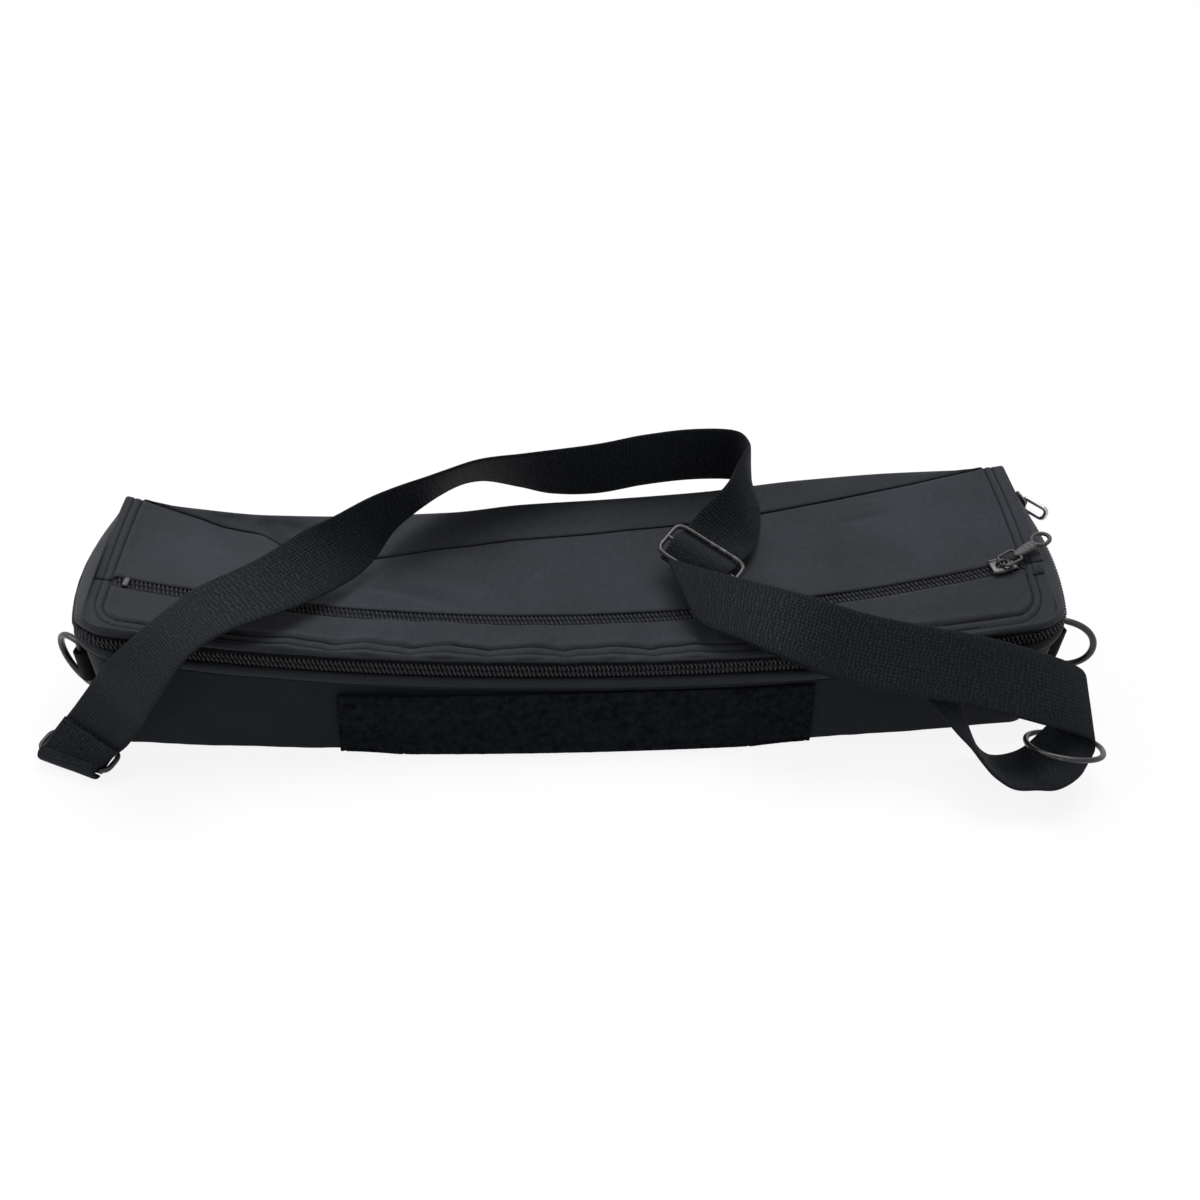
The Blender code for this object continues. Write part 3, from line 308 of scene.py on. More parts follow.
DOUBLED_RUN_SHARES = (
    ((0.223, -0.336, 0.9565), (0.26, -0.94, -0.2)),
    ((0.27, -0.45, 0.925), (-0.02, -0.96, -0.26)),
    ((0.353, -0.6, 0.915), (-0.25, -0.93, -0.26)),
    ((0.455, -0.853, 0.94), (-0.31, -0.82, -0.48)),
    ((0.563, -0.99, 0.86), (-0.27, -0.7, -0.67)),
    ((0.685, -1.111, 0.82), (-0.22, -0.68, -0.69)),
    ((0.81, -1.2, 0.773), (-0.24, -0.68, -0.69)),
    ((0.957, -1.263, 0.625), (-0.12, -0.73, -0.68)),
    ((1.04, -1.31, 0.52), (0.02, -0.78, -0.62)),
    ((1.054, -1.36, 0.44), (0.05, -0.81, -0.58)),
    ((1.038, -1.43, 0.35), (0.05, -0.88, -0.47)),
    ((1.005, -1.54, 0.268), (0.05, -0.97, -0.17)),
    ((0.956, -1.635, 0.17), (0.05, -0.96, 0.18)),
    ((0.918, -1.645, 0.125), (0.05, -0.93, 0.35)),
    ((0.874, -1.635, 0.12), (0.05, -0.93, 0.37)),
    ((0.838, -1.58, 0.2), (0.0, -0.94, 0.34)),
    ((0.812, -1.5, 0.31), (0.0, -0.97, 0.2)),
    ((0.792, -1.385, 0.45), (-0.05, -0.99, -0.1)),
    ((0.773, -1.27, 0.575), (-0.15, -0.88, -0.45)),
    ((0.73, -1.095, 0.738), (-0.22, -0.7, -0.67)),
    ((0.685, -1.05, 0.765), (-0.22, -0.68, -0.69)),
    ((0.563, -0.935, 0.8), (-0.27, -0.7, -0.67)),
    ((0.455, -0.81, 0.885), (-0.31, -0.82, -0.48)),
    ((0.37, -0.61, 0.872), (-0.25, -0.93, -0.26)),
)

HALF = LENGTH / 2
BACK = DEPTH / 2
BOW_RADIUS = (BACK**2 + END_BOW**2) / (2 * END_BOW)
X = Vector((1, 0, 0))
Y = Vector((0, 1, 0))
Z = Vector((0, 0, 1))


# The bag's shape


def mixed(a, b, t):
    return a + (b - a) * t


def held(value, low=0.0, high=1.0):
    return min(max(value, low), high)

def square_to(direction, axis):
    """The direction turned to stand square to an axis."""
    return (direction - axis * direction.dot(axis)).normalized()


def smooth(shares, at):
    """The value at a place, on a curve that passes through each pair without overshoot."""
    at = held(at, shares[0][0], shares[-1][0])
    spans = list(zip(shares, shares[1:]))
    slopes = [(b[1] - a[1]) / (b[0] - a[0]) for a, b in spans]
    turns = [slopes[0]]
    for before, after in zip(slopes, slopes[1:]):
        turns.append(0 if before * after <= 0 else 2 * before * after / (before + after))
    turns.append(slopes[-1])
    for i, (a, b) in enumerate(spans):
        if at <= b[0]:
            wide = b[0] - a[0]
            t = (at - a[0]) / wide
            return (
                a[1] * (1 + 2 * t) * (1 - t) ** 2
                + b[1] * t * t * (3 - 2 * t)
                + turns[i] * wide * t * (1 - t) ** 2
                - turns[i + 1] * wide * t * t * (1 - t)
            )
    return shares[-1][1]


def rim_height(x, deep):
    """The height of the lid's edge, deep 0 at the front and 1 at the back."""
    t = held(x / HALF, -1, 1)
    front = HEIGHT - END_TWIST * t - FRONT_SAG * (1 - abs(t) ** SAG_POWER)
    if deep <= 0:
        return front
    back = HEIGHT + END_TWIST * t - BACK_SAG * smooth(BACK_SAG_SHARES, t)
    return mixed(front, back, deep)


def front_y(x, level):
    t = held(x / HALF, -1, 1)
    return -BACK + FRONT_LEAN * level - mixed(BASE_BOW, RIM_BOW, level) * (1 - t * t)


def end_bulge(y, level):
    y = held(y, -BACK, BACK)
    arc = math.sqrt(BOW_RADIUS**2 - y * y) - (BOW_RADIUS - END_BOW)
    return arc * smooth(BULGE_SHARES, level)


def outline(run, level, out=0.0):
    """A point in plan round the bag. Run 0 to 1 is the left end from the back, 1 to 2
    the left front corner, 2 to 3 the front, 3 to 4 the right front corner and 4 to 5
    the right end to the back."""
    if run > 3:
        return outline_end(5 - run, level, out, 1)
    if run < 2:
        return outline_end(run, level, out, -1)
    share = held((level - ZIP_LEVEL) / (1 - ZIP_LEVEL))
    corner_x = HALF - mixed(CORNER_RADIUS, LID_CORNER_RADIUS, share)
    x = mixed(-corner_x, corner_x, run - 2)
    slope = 2 * mixed(BASE_BOW, RIM_BOW, level) * x / HALF**2
    normal = Vector((slope, -1, 0)).normalized()
    return Vector((x, front_y(x, level), 0)) + normal * out


def outline_end(run, level, out, side):
    """The end wall (run 0 to 1, from the back) or the corner (1 to 2) on one side."""
    share = held((level - ZIP_LEVEL) / (1 - ZIP_LEVEL))
    radius = mixed(CORNER_RADIUS, LID_CORNER_RADIUS, share)
    corner = Vector((side * (HALF - radius), front_y(HALF - radius, level) + radius, 0))
    if run <= 1:
        y = mixed(BACK, corner.y, run)
        lean = y / BOW_RADIUS * smooth(BULGE_SHARES, level)
        normal = Vector((side, lean, 0)).normalized()
        return Vector((side * (HALF + end_bulge(y, level)), y, 0)) + normal * out
    turn = (run - 1) * math.pi / 2
    normal = Vector((side * math.cos(turn), -math.sin(turn), 0))
    point = corner + normal * (radius + out)
    point.x += side * end_bulge(point.y, level) * math.cos(turn)
    return point


def on_wall(run, share=0.0, rise=0.0, out=0.0, drop=None):
    """A point on the bag's side, at a share of the rim's height plus a rise. With a
    drop it lies that far below the rim."""
    level = share
    for _ in range(3):
        flat = outline(run, level)
        deep = held((flat.y - front_y(0, level) - BASE_BOW) / (DEPTH - FRONT_LEAN))
        if 2 <= run <= 3:
            deep = 0
        top = rim_height(flat.x, deep)
        height = top * share + rise if drop is None else top - drop
        level = held(height / top)
    point = outline(run, level, out)
    point.z = height
    return point


def outward_at(run, level):
    """The way out from the bag's side."""
    return (outline(run, level, 0.001) - outline(run, level)).normalized()


def side_point(run, height, out, full=None):
    """A point at a height on the bag's side."""
    full = full or on_wall(run, 1.0).z
    point = outline(run, held(height / full), out)
    point.z = height
    return point


def paced(start, end, stops):
    """Runs from start to end, sharing the columns out by the stops."""
    stops = ((0.0, start), *stops, (1.0, end))

    def at(u):
        for a, b in zip(stops, stops[1:]):
            if u <= b[0]:
                return mixed(a[1], b[1], (u - a[0]) / (b[0] - a[0]))
        return end

    return at


ROUND_PACE = paced(0.0, 5.0, ((0.17, 1.0), (0.21, 2.0), (0.79, 3.0), (0.83, 4.0)))
ZIP_PACE = paced(ZIP_START, 5 - ZIP_START, ((0.14, 1.0), (0.18, 2.0), (0.82, 3.0), (0.86, 4.0)))


def at_shares(where):
    """A place from shares of the bag's half length, half depth and height."""
    return Vector((where[0] * HALF, where[1] * BACK, where[2] * HEIGHT))


def placed(shares):
    """Stations in metres from a table of shares."""
    return [(at_shares(where), Vector(across)) for where, across in shares]


def between(rows, t):
    """A point on the smooth curve through four rows, at t between the middle two."""
    a, b, c, d = rows
    return (
        b * 2 + (c - a) * t + (a * 2 - b * 5 + c * 4 - d) * t**2 + (b * 3 - a - c * 3 + d) * t**3
    ) / 2


def around(rows, i):
    """The rows before, at and after a place, held at the ends."""
    return [rows[held(i + k, 0, len(rows) - 1)] for k in (-1, 0, 1, 2)]


def spline_at(stations, at):
    """Centre and across direction at a share of the way through the stations."""
    spot = at * (len(stations) - 1)
    i = min(int(spot), len(stations) - 2)
    rows = around(stations, i)
    centre, across = (between([row[kind] for row in rows], spot - i) for kind in (0, 1))
    return centre, across.normalized()


def on_section(section, at):
    """The pair at a share of the way through a section's rows."""
    spot = at * (len(section) - 1)
    i = min(int(spot), len(section) - 2)
    return [mixed(a, b, spot - i) for a, b in zip(section[i], section[i + 1])]


def pocket_frame(x):
    """The curved zip's point at x and its axes: along, across to the back, and up."""
    turn = math.asin(x / POCKET_ARC_RADIUS)
    radial = Vector((0, -math.sqrt(0.5), -math.sqrt(0.5)))
    axle = Vector((0, math.sqrt(0.5), -math.sqrt(0.5)))
    middle = Vector((0, POCKET_MIDDLE_Y, POCKET_MIDDLE_Z))
    centre = middle - radial * POCKET_ARC_RADIUS
    spoke = X * math.sin(turn) + radial * math.cos(turn)
    along = X * math.cos(turn) - radial * math.sin(turn)
    back = (axle - spoke) * math.sqrt(0.5)
    up = along.cross(back)
    return centre + spoke * POCKET_ARC_RADIUS, along, back, up


def front_edge(x):
    """The lid's front seam, with its rounded corners."""
    radius = LID_CORNER_RADIUS
    inner = min(abs(x), HALF) - (HALF - radius)
    y = front_y(min(abs(x), HALF - radius), 1)
    if inner > 0:
        y += radius - math.sqrt(max(radius**2 - inner**2, 0))
    return Vector((x, y, rim_height(x, 0)))


def seam_edge(x, shift=0.0):
    """The lid's back seam, forward of the crest."""
    inset = SEAM_INSET * smooth(SEAM_INSET_SHARES, held(x / HALF, -1, 1))
    return Vector((x, BACK - inset - shift, rim_height(x, 1) - inset * 0.15))


def zip_edge(x, side):
    """The edge of a panel beside the curved zip. The two panels meet beyond its ends."""
    x = held(x, GAP - HALF, HALF - GAP)
    point, along, back, up = pocket_frame(x)
    wide = ZIP_MOUTH * held((ZIP_MOUTH_END - abs(x)) / ZIP_MOUTH_TAPER)
    if side < 0 and PUFF_START < x < PUFF_END:
        puffed = math.sin((x - PUFF_START) / (PUFF_END - PUFF_START) * math.pi)
        wide -= PUFF_DEPTH * puffed * (0.65 + 0.35 * math.sin(x / PUFF_WAVE))
    return point + back * side * max(wide, ZIP_SLIT)


# Folds in the cloth


def ridge(x, y, fold):
    """The height that a soft fold adds: a ridge between two points of the plan."""
    x0, y0, x1, y1, wide, tall = fold
    run_x, run_y = x1 - x0, y1 - y0
    span = run_x * run_x + run_y * run_y
    t = held(((x - x0) * run_x + (y - y0) * run_y) / span)
    away = math.hypot(x - x0 - run_x * t, y - y0 - run_y * t)
    if away > 3 * wide:
        return 0.0
    return tall * math.exp(-((away / wide) ** 2)) * (0.35 + 0.65 * math.sin(math.pi * held(t, 0.1, 0.9)))


def drift(x, y, z, size, depth):
    """Slow, even unevenness."""
    return noise.noise(Vector((x / size, y / size, z / size))) * depth


LID_FOLDS = (
    # along the front strip, under the pocket zip
    (-0.128, -0.048, -0.118, -0.0335, 0.005, 0.0007),
    (-0.108, -0.05, -0.101, -0.033, 0.0042, -0.0008),
    (-0.092, -0.047, -0.088, -0.0325, 0.0056, 0.0009),
    (-0.076, -0.05, -0.067, -0.033, 0.0036, -0.0009),
    (-0.058, -0.046, -0.052, -0.032, 0.006, 0.001),
    (-0.04, -0.0505, -0.036, -0.0325, 0.004, -0.0008),
    (-0.022, -0.047, -0.017, -0.0325, 0.0052, 0.0006),
    (-0.003, -0.0505, -0.009, -0.032, 0.0038, -0.0009),
    (0.013, -0.049, 0.019, -0.033, 0.006, 0.0007),
    (0.035, -0.051, 0.029, -0.0325, 0.0038, -0.0008),
    (0.05, -0.048, 0.052, -0.033, 0.005, 0.0006),
    # behind the pocket zip, near the left end
    (-0.15, 0.044, -0.128, 0.009, 0.0042, 0.0011),
    (-0.143, 0.045, -0.118, 0.016, 0.0034, -0.0014),
    (-0.166, 0.044, -0.152, 0.018, 0.005, -0.0008),
    (-0.132, 0.04, -0.104, 0.002, 0.006, -0.0009),
    (-0.122, 0.038, -0.096, 0.012, 0.0036, 0.0005),
    # across the back strip, where it sags
    (-0.14, 0.05, -0.11, 0.033, 0.0046, -0.0012),
    (-0.118, 0.05, -0.094, 0.03, 0.0036, 0.0006),
    (-0.16, 0.047, -0.138, 0.04, 0.004, -0.0007),
    # a crease on the right
    (0.128, 0.023, 0.146, 0.0265, 0.0022, -0.0005),
    (0.06, 0.012, 0.15, -0.006, 0.01, -0.0006),
    # fanning out behind the pocket zip, right of the strap
    (-0.098, -0.006, -0.07, -0.013, 0.004, 0.0007),
    (-0.086, -0.002, -0.052, -0.015, 0.0036, -0.0008),
    (-0.074, 0.004, -0.04, -0.01, 0.0044, 0.0005),
    (-0.06, 0.0, 0.02, -0.008, 0.011, -0.0005),
)


def seam_distance(x, y, front):
    """The distance in plan inside the lid panel's seam, negative beyond it."""
    inset = LEFT_END_SEAM if x < 0 else RIGHT_END_SEAM
    end = HALF + end_bulge(y, 1.0) - abs(x) - inset
    ahead = y - front - FRONT_SEAM
    corner_x = SEAM_CORNER - end
    corner_y = SEAM_CORNER - ahead
    if corner_x > 0 and corner_y > 0:
        return SEAM_CORNER - math.hypot(corner_x, corner_y)
    return min(end, ahead)


def groove(distance, width=SEAM_WIDTH, depth=SEAM_DEPTH):
    away = (distance / width) ** 2
    return -depth * math.exp(-away) if away < 12 else 0.0


def lid_relief(x, y, front):
    """How far the lid's cloth stands above its plain surface."""
    rise = drift(x, y, 0, 0.045, 0.0005) + drift(x, y, 3, 0.017, 0.00022)
    rise += CORNER_LIFT * held((abs(x) - 0.165) / 0.04) * held((y + 0.005) / 0.055)
    for fold in LID_FOLDS:
        rise += ridge(x, y, fold) * FOLD_STRENGTH
    seam = seam_distance(x, y, front)
    rise += groove(seam)
    rise += 0.0004 * math.exp(-(((seam - 0.0022) / 0.0016) ** 2))
    if seam < 0:
        beyond = -seam
        rise -= 0.0006 * held(beyond / 0.0060) ** 1.6
        rise += groove(beyond - SECOND_SEAM, 0.0005, 0.0006)
    return rise


def rolled(distance, radius, depth):
    """The drop at a cloth edge that is turned under."""
    return -depth * (1 - distance / radius) ** 2 if distance < radius else 0.0


def tray_relief(run, height):
    """How far the side cloth stands out from its plain surface."""
    spot = outline(run, 0.5)
    out = drift(spot.x, spot.y, height * 0.7, 0.040, 0.0007)
    out += drift(spot.x + 7, spot.y, height, 0.013, 0.00035)
    low = held(1 - height / 0.014)
    out += drift(spot.x, spot.y + 5, 0, 0.0075, 0.0002) * low
    return out - 0.0002


# Materials

FLOAT = "NodeSocketFloat"
VECTOR = "NodeSocketVector"
COLOUR = "NodeSocketColor"
WHITE = (1, 1, 1, 1)
BARE_METAL = (0.30, 0.30, 0.31, 1)
SHEEN_TINT = (0.75, 0.78, 0.85, 1)


def colour(shade):
    return (*shade, 1)


def fed(tree, node, feeds):
    """Links each of a node's inputs or gives it a value."""
    for slot, value in feeds.items():
        if isinstance(value, bpy.types.NodeSocket):
            tree.links.new(value, node.inputs[slot])
        else:
            node.inputs[slot].default_value = value
    return node


def wired(tree, kind, feeds, **settings):
    made = tree.nodes.new(kind)
    for key, value in settings.items():
        setattr(made, key, value)
    return fed(tree, made, feeds)


def calc(tree, operation, *values):
    return wired(tree, "ShaderNodeMath", dict(enumerate(values)), operation=operation).outputs[0]


def noisy(tree, place, scale, detail):
    feeds = {"Vector": place, "Scale": scale, "Detail": detail}
    return wired(tree, "ShaderNodeTexNoise", feeds).outputs[0]


def scaled(tree, shade, factor):
    feeds = {0: shade, "Scale": factor}
    return wired(tree, "ShaderNodeVectorMath", feeds, operation="SCALE").outputs[0]


def grouped(tree, group, feeds):
    return wired(tree, "ShaderNodeGroup", feeds, node_tree=group).outputs


def shared_effect(name, inputs, outputs):
    """An empty node group: its tree, its inputs' sockets and its output node."""
    tree = bpy.data.node_groups.new(name, "ShaderNodeTree")
    for socket, kind, value in inputs:
        made = tree.interface.new_socket(socket, in_out="INPUT", socket_type=kind)
        if value is not None:
            made.default_value = value
    for socket, kind in outputs:
        tree.interface.new_socket(socket, in_out="OUTPUT", socket_type=kind)
    return tree, tree.nodes.new("NodeGroupInput").outputs, tree.nodes.new("NodeGroupOutput")


def ripple(tree, value, count):
    """A row of rounded threads: 0 in the gaps and 1 on each thread's crown."""
    turned = calc(tree, "MULTIPLY", value, calc(tree, "MULTIPLY", count, math.pi))
    return calc(tree, "ABSOLUTE", calc(tree, "SINE", turned))


def plain_weave():
    """Fine nylon: threads over and under, on the cloth's own map in metres."""
    inputs = (("Cloth", VECTOR, None), ("Threads", FLOAT, 2200))
    tree, given, end = shared_effect("plain_weave", inputs, (("Height", FLOAT),))
    parts = wired(tree, "ShaderNodeSeparateXYZ", {0: given["Cloth"]}).outputs
    warp = ripple(tree, parts[0], given["Threads"])
    weft = ripple(tree, parts[1], given["Threads"])
    fed(tree, end, {"Height": calc(tree, "MULTIPLY", warp, weft)})
    return tree


def webbing_weave():
    """Heavy webbing: picks across it that slant to and fro in narrow columns, and a painted highlight that
    is 1 on the picks' crowns and 0 in the gaps, with random speckle.
    """
    inputs = (
        ("Cloth", VECTOR, None),
        ("Picks", FLOAT, 900),
        ("Columns", FLOAT, 560),
        ("Slant", FLOAT, 0.00025),
    )
    tree, given, end = shared_effect("webbing_weave", inputs, (("Height", FLOAT), ("Shade", FLOAT)))
    parts = wired(tree, "ShaderNodeSeparateXYZ", {0: given["Cloth"]}).outputs
    column = calc(tree, "MULTIPLY", parts[1], given["Columns"])
    zigzag = calc(tree, "PINGPONG", column, 1.0)
    waver = noisy(tree, given["Cloth"], 420.0, 2.0)
    drawn = calc(tree, "MULTIPLY_ADD", waver, 0.0022, parts[0])
    slid = calc(tree, "MULTIPLY_ADD", zigzag, given["Slant"], drawn)
    picks = ripple(tree, slid, given["Picks"])
    ribs = ripple(tree, parts[1], calc(tree, "MULTIPLY", given["Columns"], 2.0))
    # Painted highlight: the picks' crowns lit and their gaps shaded, times a random speckle
    speckle = calc(tree, "MULTIPLY_ADD", noisy(tree, given["Cloth"], 900.0, 3.0), 2.4, -0.25)
    height = calc(tree, "MULTIPLY_ADD", ribs, 0.45, picks)
    fed(tree, end, {"Height": height, "Shade": calc(tree, "MULTIPLY", picks, speckle)})
    return tree


def uneven_wear():
    """Broad fading, small blotches and light rubbing, from the piece's place."""
    inputs = (("Place", VECTOR, None), ("Colour", COLOUR, (0.1, 0.1, 0.1, 1)), ("Amount", FLOAT, 0.2))
    tree, given, end = shared_effect("uneven_wear", inputs, (("Colour", COLOUR), ("Mask", FLOAT)))
    broad = calc(tree, "MULTIPLY", noisy(tree, given["Place"], 22.0, 3.0), 0.8)
    mask = calc(tree, "MULTIPLY_ADD", noisy(tree, given["Place"], 420.0, 4.0), 0.5, broad)
    swing = calc(tree, "MULTIPLY", calc(tree, "SUBTRACT", mask, 0.65), given["Amount"])
    factor = calc(tree, "MULTIPLY_ADD", swing, 2.0, 1.0)
    fed(tree, end, {"Colour": scaled(tree, given["Colour"], factor), "Mask": mask})
    return tree


def seam_lines():
    """Painted shade: two dark lines, one on the seam and one beyond it, where the seams' grooves hold
    shade.
    """
    tree, given, end = shared_effect("seam_lines", (("Inside", FLOAT, 0.01),), (("Bright", FLOAT),))
    first = calc(tree, "ABSOLUTE", given["Inside"])
    second = calc(tree, "ABSOLUTE", calc(tree, "ADD", given["Inside"], SECOND_SEAM))
    nearest = calc(tree, "MINIMUM", first, second)
    span = {"Value": nearest, "From Min": 0.00025, "From Max": 0.0007, "To Min": 0.22, "To Max": 1.0}
    fed(tree, end, {"Bright": wired(tree, "ShaderNodeMapRange", span).outputs[0]})
    return tree


PLAIN_WEAVE = plain_weave()
WEBBING_WEAVE = webbing_weave()
UNEVEN_WEAR = uneven_wear()
PAINTED_SEAM_SHADE = seam_lines()


def finish_start(name, shade, roughness, metallic=0.0, sheen=0.0, specular=0.5):
    """A material, its tree, its shader and the sockets that say where on the piece."""
    made = bpy.data.materials.new(name)
    made.use_nodes = True
    tree = made.node_tree
    base = {"Base Color": colour(shade), "Roughness": roughness, "Metallic": metallic}
    shader = fed(tree, tree.nodes["Principled BSDF"], {**base, "Specular IOR Level": specular})
    if sheen:
        fed(tree, shader, {"Sheen Weight": sheen, "Sheen Roughness": 0.45, "Sheen Tint": SHEEN_TINT})
    return made, tree, shader, tree.nodes.new("ShaderNodeTexCoord").outputs


def worn_colour(tree, where, shade, amount):
    feeds = {"Place": where["Object"], "Colour": colour(shade), "Amount": amount}
    return grouped(tree, UNEVEN_WEAR, feeds)


def raised(tree, shader, height, depth, strength, **before):
    feeds = {"Height": height, "Distance": depth, "Strength": strength, **before}
    bump = wired(tree, "ShaderNodeBump", feeds).outputs[0]
    fed(tree, shader, {"Normal": bump})
    return bump


def nylon(name, shade, roughness=0.62, threads=2000.0, wear=0.25, sheen=0.04, seam_shaded=False):
    """Woven nylon with a faint sheen. A seam_shaded one reads its mesh's inside_seam distance and paints
    shade in dark lines along the seams.
    """
    made, tree, shader, where = finish_start(name, shade, roughness, sheen=sheen, specular=0.14)
    worn = worn_colour(tree, where, shade, wear)
    shown = worn["Colour"]
    if seam_shaded:
        # Painted shade: the colour darkened in lines along the lid's seams
        inside = wired(tree, "ShaderNodeAttribute", {}, attribute_name="inside_seam").outputs["Fac"]
        shown = scaled(tree, shown, grouped(tree, PAINTED_SEAM_SHADE, {"Inside": inside})["Bright"])
    rough = calc(tree, "MULTIPLY_ADD", worn["Mask"], 0.16, roughness - 0.1)
    fed(tree, shader, {"Base Color": shown, "Roughness": rough})
    soft = raised(tree, shader, noisy(tree, where["Object"], 95.0, 5.0), 0.0007, 0.5)
    weave = grouped(tree, PLAIN_WEAVE, {"Cloth": where["UV"], "Threads": threads})
    raised(tree, shader, weave["Height"], 0.00012, 0.8, Normal=soft)
    return made


def webbing(name, shade, lift=1.6, roughness=0.72, picks=900.0, depth=0.00035):
    """Webbing with raised picks, with a painted highlight on their crowns and painted shade in the gaps,
    as strong as lift.
    """
    made, tree, shader, where = finish_start(name, shade, roughness, sheen=0.03, specular=0.10)
    weave = grouped(tree, WEBBING_WEAVE, {"Cloth": where["UV"], "Picks": picks})
    worn = worn_colour(tree, where, shade, 0.35)
    # Painted highlight and shade: the colour lifted on the picks' crowns and dropped to 0.35 of it in the
    # gaps
    bright = calc(tree, "MULTIPLY_ADD", weave["Shade"], lift, 0.35)
    fed(tree, shader, {"Base Color": scaled(tree, worn["Colour"], bright)})
    raised(tree, shader, weave["Height"], depth, 1.0)
    return made


def pile(name, shade):
    """Brushed webbing: a short, dense, dull pile."""
    made, tree, shader, where = finish_start(name, shade, 0.95, sheen=0.02, specular=0.06)
    bright = calc(tree, "MULTIPLY_ADD", noisy(tree, where["Object"], 320.0, 3.0), 3.4, -0.7)
    fed(tree, shader, {"Base Color": scaled(tree, shade, bright)})
    raised(tree, shader, noisy(tree, where["Object"], 900.0, 4.0), 0.0006, 0.9)
    return made


def coated(name, shade, roughness, metallic=0.0, bare=0.0):
    """A smooth coat with small scratches, rubbed thin in places where bare is over 0."""
    made, tree, shader, where = finish_start(name, shade, roughness, metallic)
    worn = worn_colour(tree, where, shade, 0.3)
    rub = noisy(tree, where["Object"], 240.0, 6.0)
    edge = wired(tree, "ShaderNodeMapRange", {0: rub, 1: 0.60, 2: 0.72, 3: 0.0, 4: bare}).outputs[0]
    layers = {0: edge, 6: worn["Colour"], 7: BARE_METAL}
    blend = wired(tree, "ShaderNodeMix", layers, data_type="RGBA")
    rough = calc(tree, "MULTIPLY_ADD", worn["Mask"], 0.2, roughness - 0.12)
    fed(tree, shader, {"Base Color": blend.outputs[2], "Roughness": rough})
    raised(tree, shader, rub, 0.00008, 0.5)
    return made


LID_SHADE = (0.0200, 0.0220, 0.0276)
LID_CLOTH = nylon("lid_cloth", LID_SHADE, wear=0.8)
# The lid's panels, with painted shade along their seams
LID_PANEL_CLOTH = nylon("lid_panel_cloth", LID_SHADE, wear=0.8, seam_shaded=True)
# Painted shade: the side cloth is the lid's nylon, given a far darker colour for the shade that falls on
# the walls
SHADED_SIDE_CLOTH = nylon("side_cloth", (0.0036, 0.0050, 0.0082), wear=0.6, sheen=0.02)
BINDING_CLOTH = nylon("binding_cloth", (0.0160, 0.0178, 0.0212), threads=1500.0, wear=0.5, sheen=0.02)
LINING_CLOTH = nylon("lining_cloth", (0.0170, 0.0170, 0.0190), 0.7, threads=2600.0)
TAPE_CLOTH = webbing("zip_tape_cloth", (0.0125, 0.0135, 0.0160), 1.6, 0.8, 1500.0, 0.00018)
STRAP_WEBBING = webbing("strap_webbing", (0.0064, 0.0076, 0.0102), 1.5)
TAB_WEBBING = webbing("tab_webbing", (0.0050, 0.0052, 0.0060))
HANDLE_PILE = pile("handle_pile", (0.0064, 0.0074, 0.0098))
COIL_NYLON = coated("coil_nylon", (0.0180, 0.0192, 0.0225), 0.65)
POCKET_COIL_NYLON = coated("pocket_coil_nylon", (0.0085, 0.0092, 0.0112), 0.75)
BLACK_METAL = coated("black_metal", (0.0060, 0.0062, 0.0070), 0.36, 0.1, 0.22)
BRIGHT_METAL = coated("bright_metal", (0.42, 0.43, 0.45), 0.30, 1.0)
PULL_RUBBER = coated("pull_rubber", (0.0100, 0.0100, 0.0110), 0.55)
THREAD_BLACK = nylon("thread_black", (0.0060, 0.0064, 0.0075), 0.7)

# A wire's finish: its material and its slot
BLACK = (BLACK_METAL, "black_metal")
BRIGHT = (BRIGHT_METAL, "bright_metal")
RUBBER = (PULL_RUBBER, "rubber_pull")
COIL = (COIL_NYLON, "zip_coil")
DARK_COIL = (POCKET_COIL_NYLON, "zip_coil")

MERGED = 1e-6


# Making the pieces


def added(name, data):
    made = bpy.data.objects.new(name, data)
    bpy.context.scene.collection.objects.link(made)
    return made


def saved(name, shape):
    mesh = bpy.data.meshes.new(name)
    shape.to_mesh(mesh)
    shape.free()
    return mesh


def linked(name, mesh, look, body, nodes=(), sharp=60):
    """Puts a mesh in the scene on its body, with its finish and the nodes it stands for."""
    piece = added(name, mesh)
    for finish in look if isinstance(look, tuple) else (look,):
        mesh.materials.append(finish)
    for face in mesh.polygons:
        face.use_smooth = True
    mesh.set_sharp_from_angle(angle=math.radians(sharp))
    if body:
        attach(piece, body)
    if nodes:
        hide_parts(*nodes)
    return piece


def grid_shape(place, columns, rows, map_at):
    """A grid whose vertices are put in place, its map in metres along the cloth."""
    shape = bmesh.new()
    bmesh.ops.create_grid(shape, x_segments=columns, y_segments=rows, size=1)
    cloth_map = shape.loops.layers.uv.new("cloth")
    for face in shape.faces:
        for loop in face.loops:
            at = loop.vert.co
            loop[cloth_map].uv = map_at((at.x + 1) / 2, (at.y + 1) / 2)
    for vert in shape.verts:
        vert.co = place((vert.co.x + 1) / 2, (vert.co.y + 1) / 2)
    return shape


def cloth_piece(name, place, counts, size, look, body, nodes, thick, offset=-1.0):
    """A sheet with its thickness. Of two materials in its look the second is inside."""
    shape = grid_shape(place, *counts, lambda u, v: (u * size[0], v * size[1]))
    piece = linked(name, saved(name, shape), look, body, nodes)
    solid = piece.modifiers.new("thickness", "SOLIDIFY")
    solid.thickness = thick
    solid.offset = offset
    solid.material_offset = len(piece.data.materials) - 1
    return piece


def wrapped_piece(name, place, counts, size, look, body, nodes):
    """A closed strip: a grid wrapped round its section, its ends capped."""
    shape = grid_shape(place, *counts, lambda u, w: (u * size[0], abs(1 - 2 * w) * size[1]))
    bmesh.ops.remove_doubles(shape, verts=shape.verts, dist=MERGED)
    rims = [edge for edge in shape.edges if edge.is_boundary]
    bmesh.ops.holes_fill(shape, edges=rims, sides=0)
    bmesh.ops.recalc_face_normals(shape, faces=shape.faces)
    return linked(name, saved(name, shape), look, body, nodes)


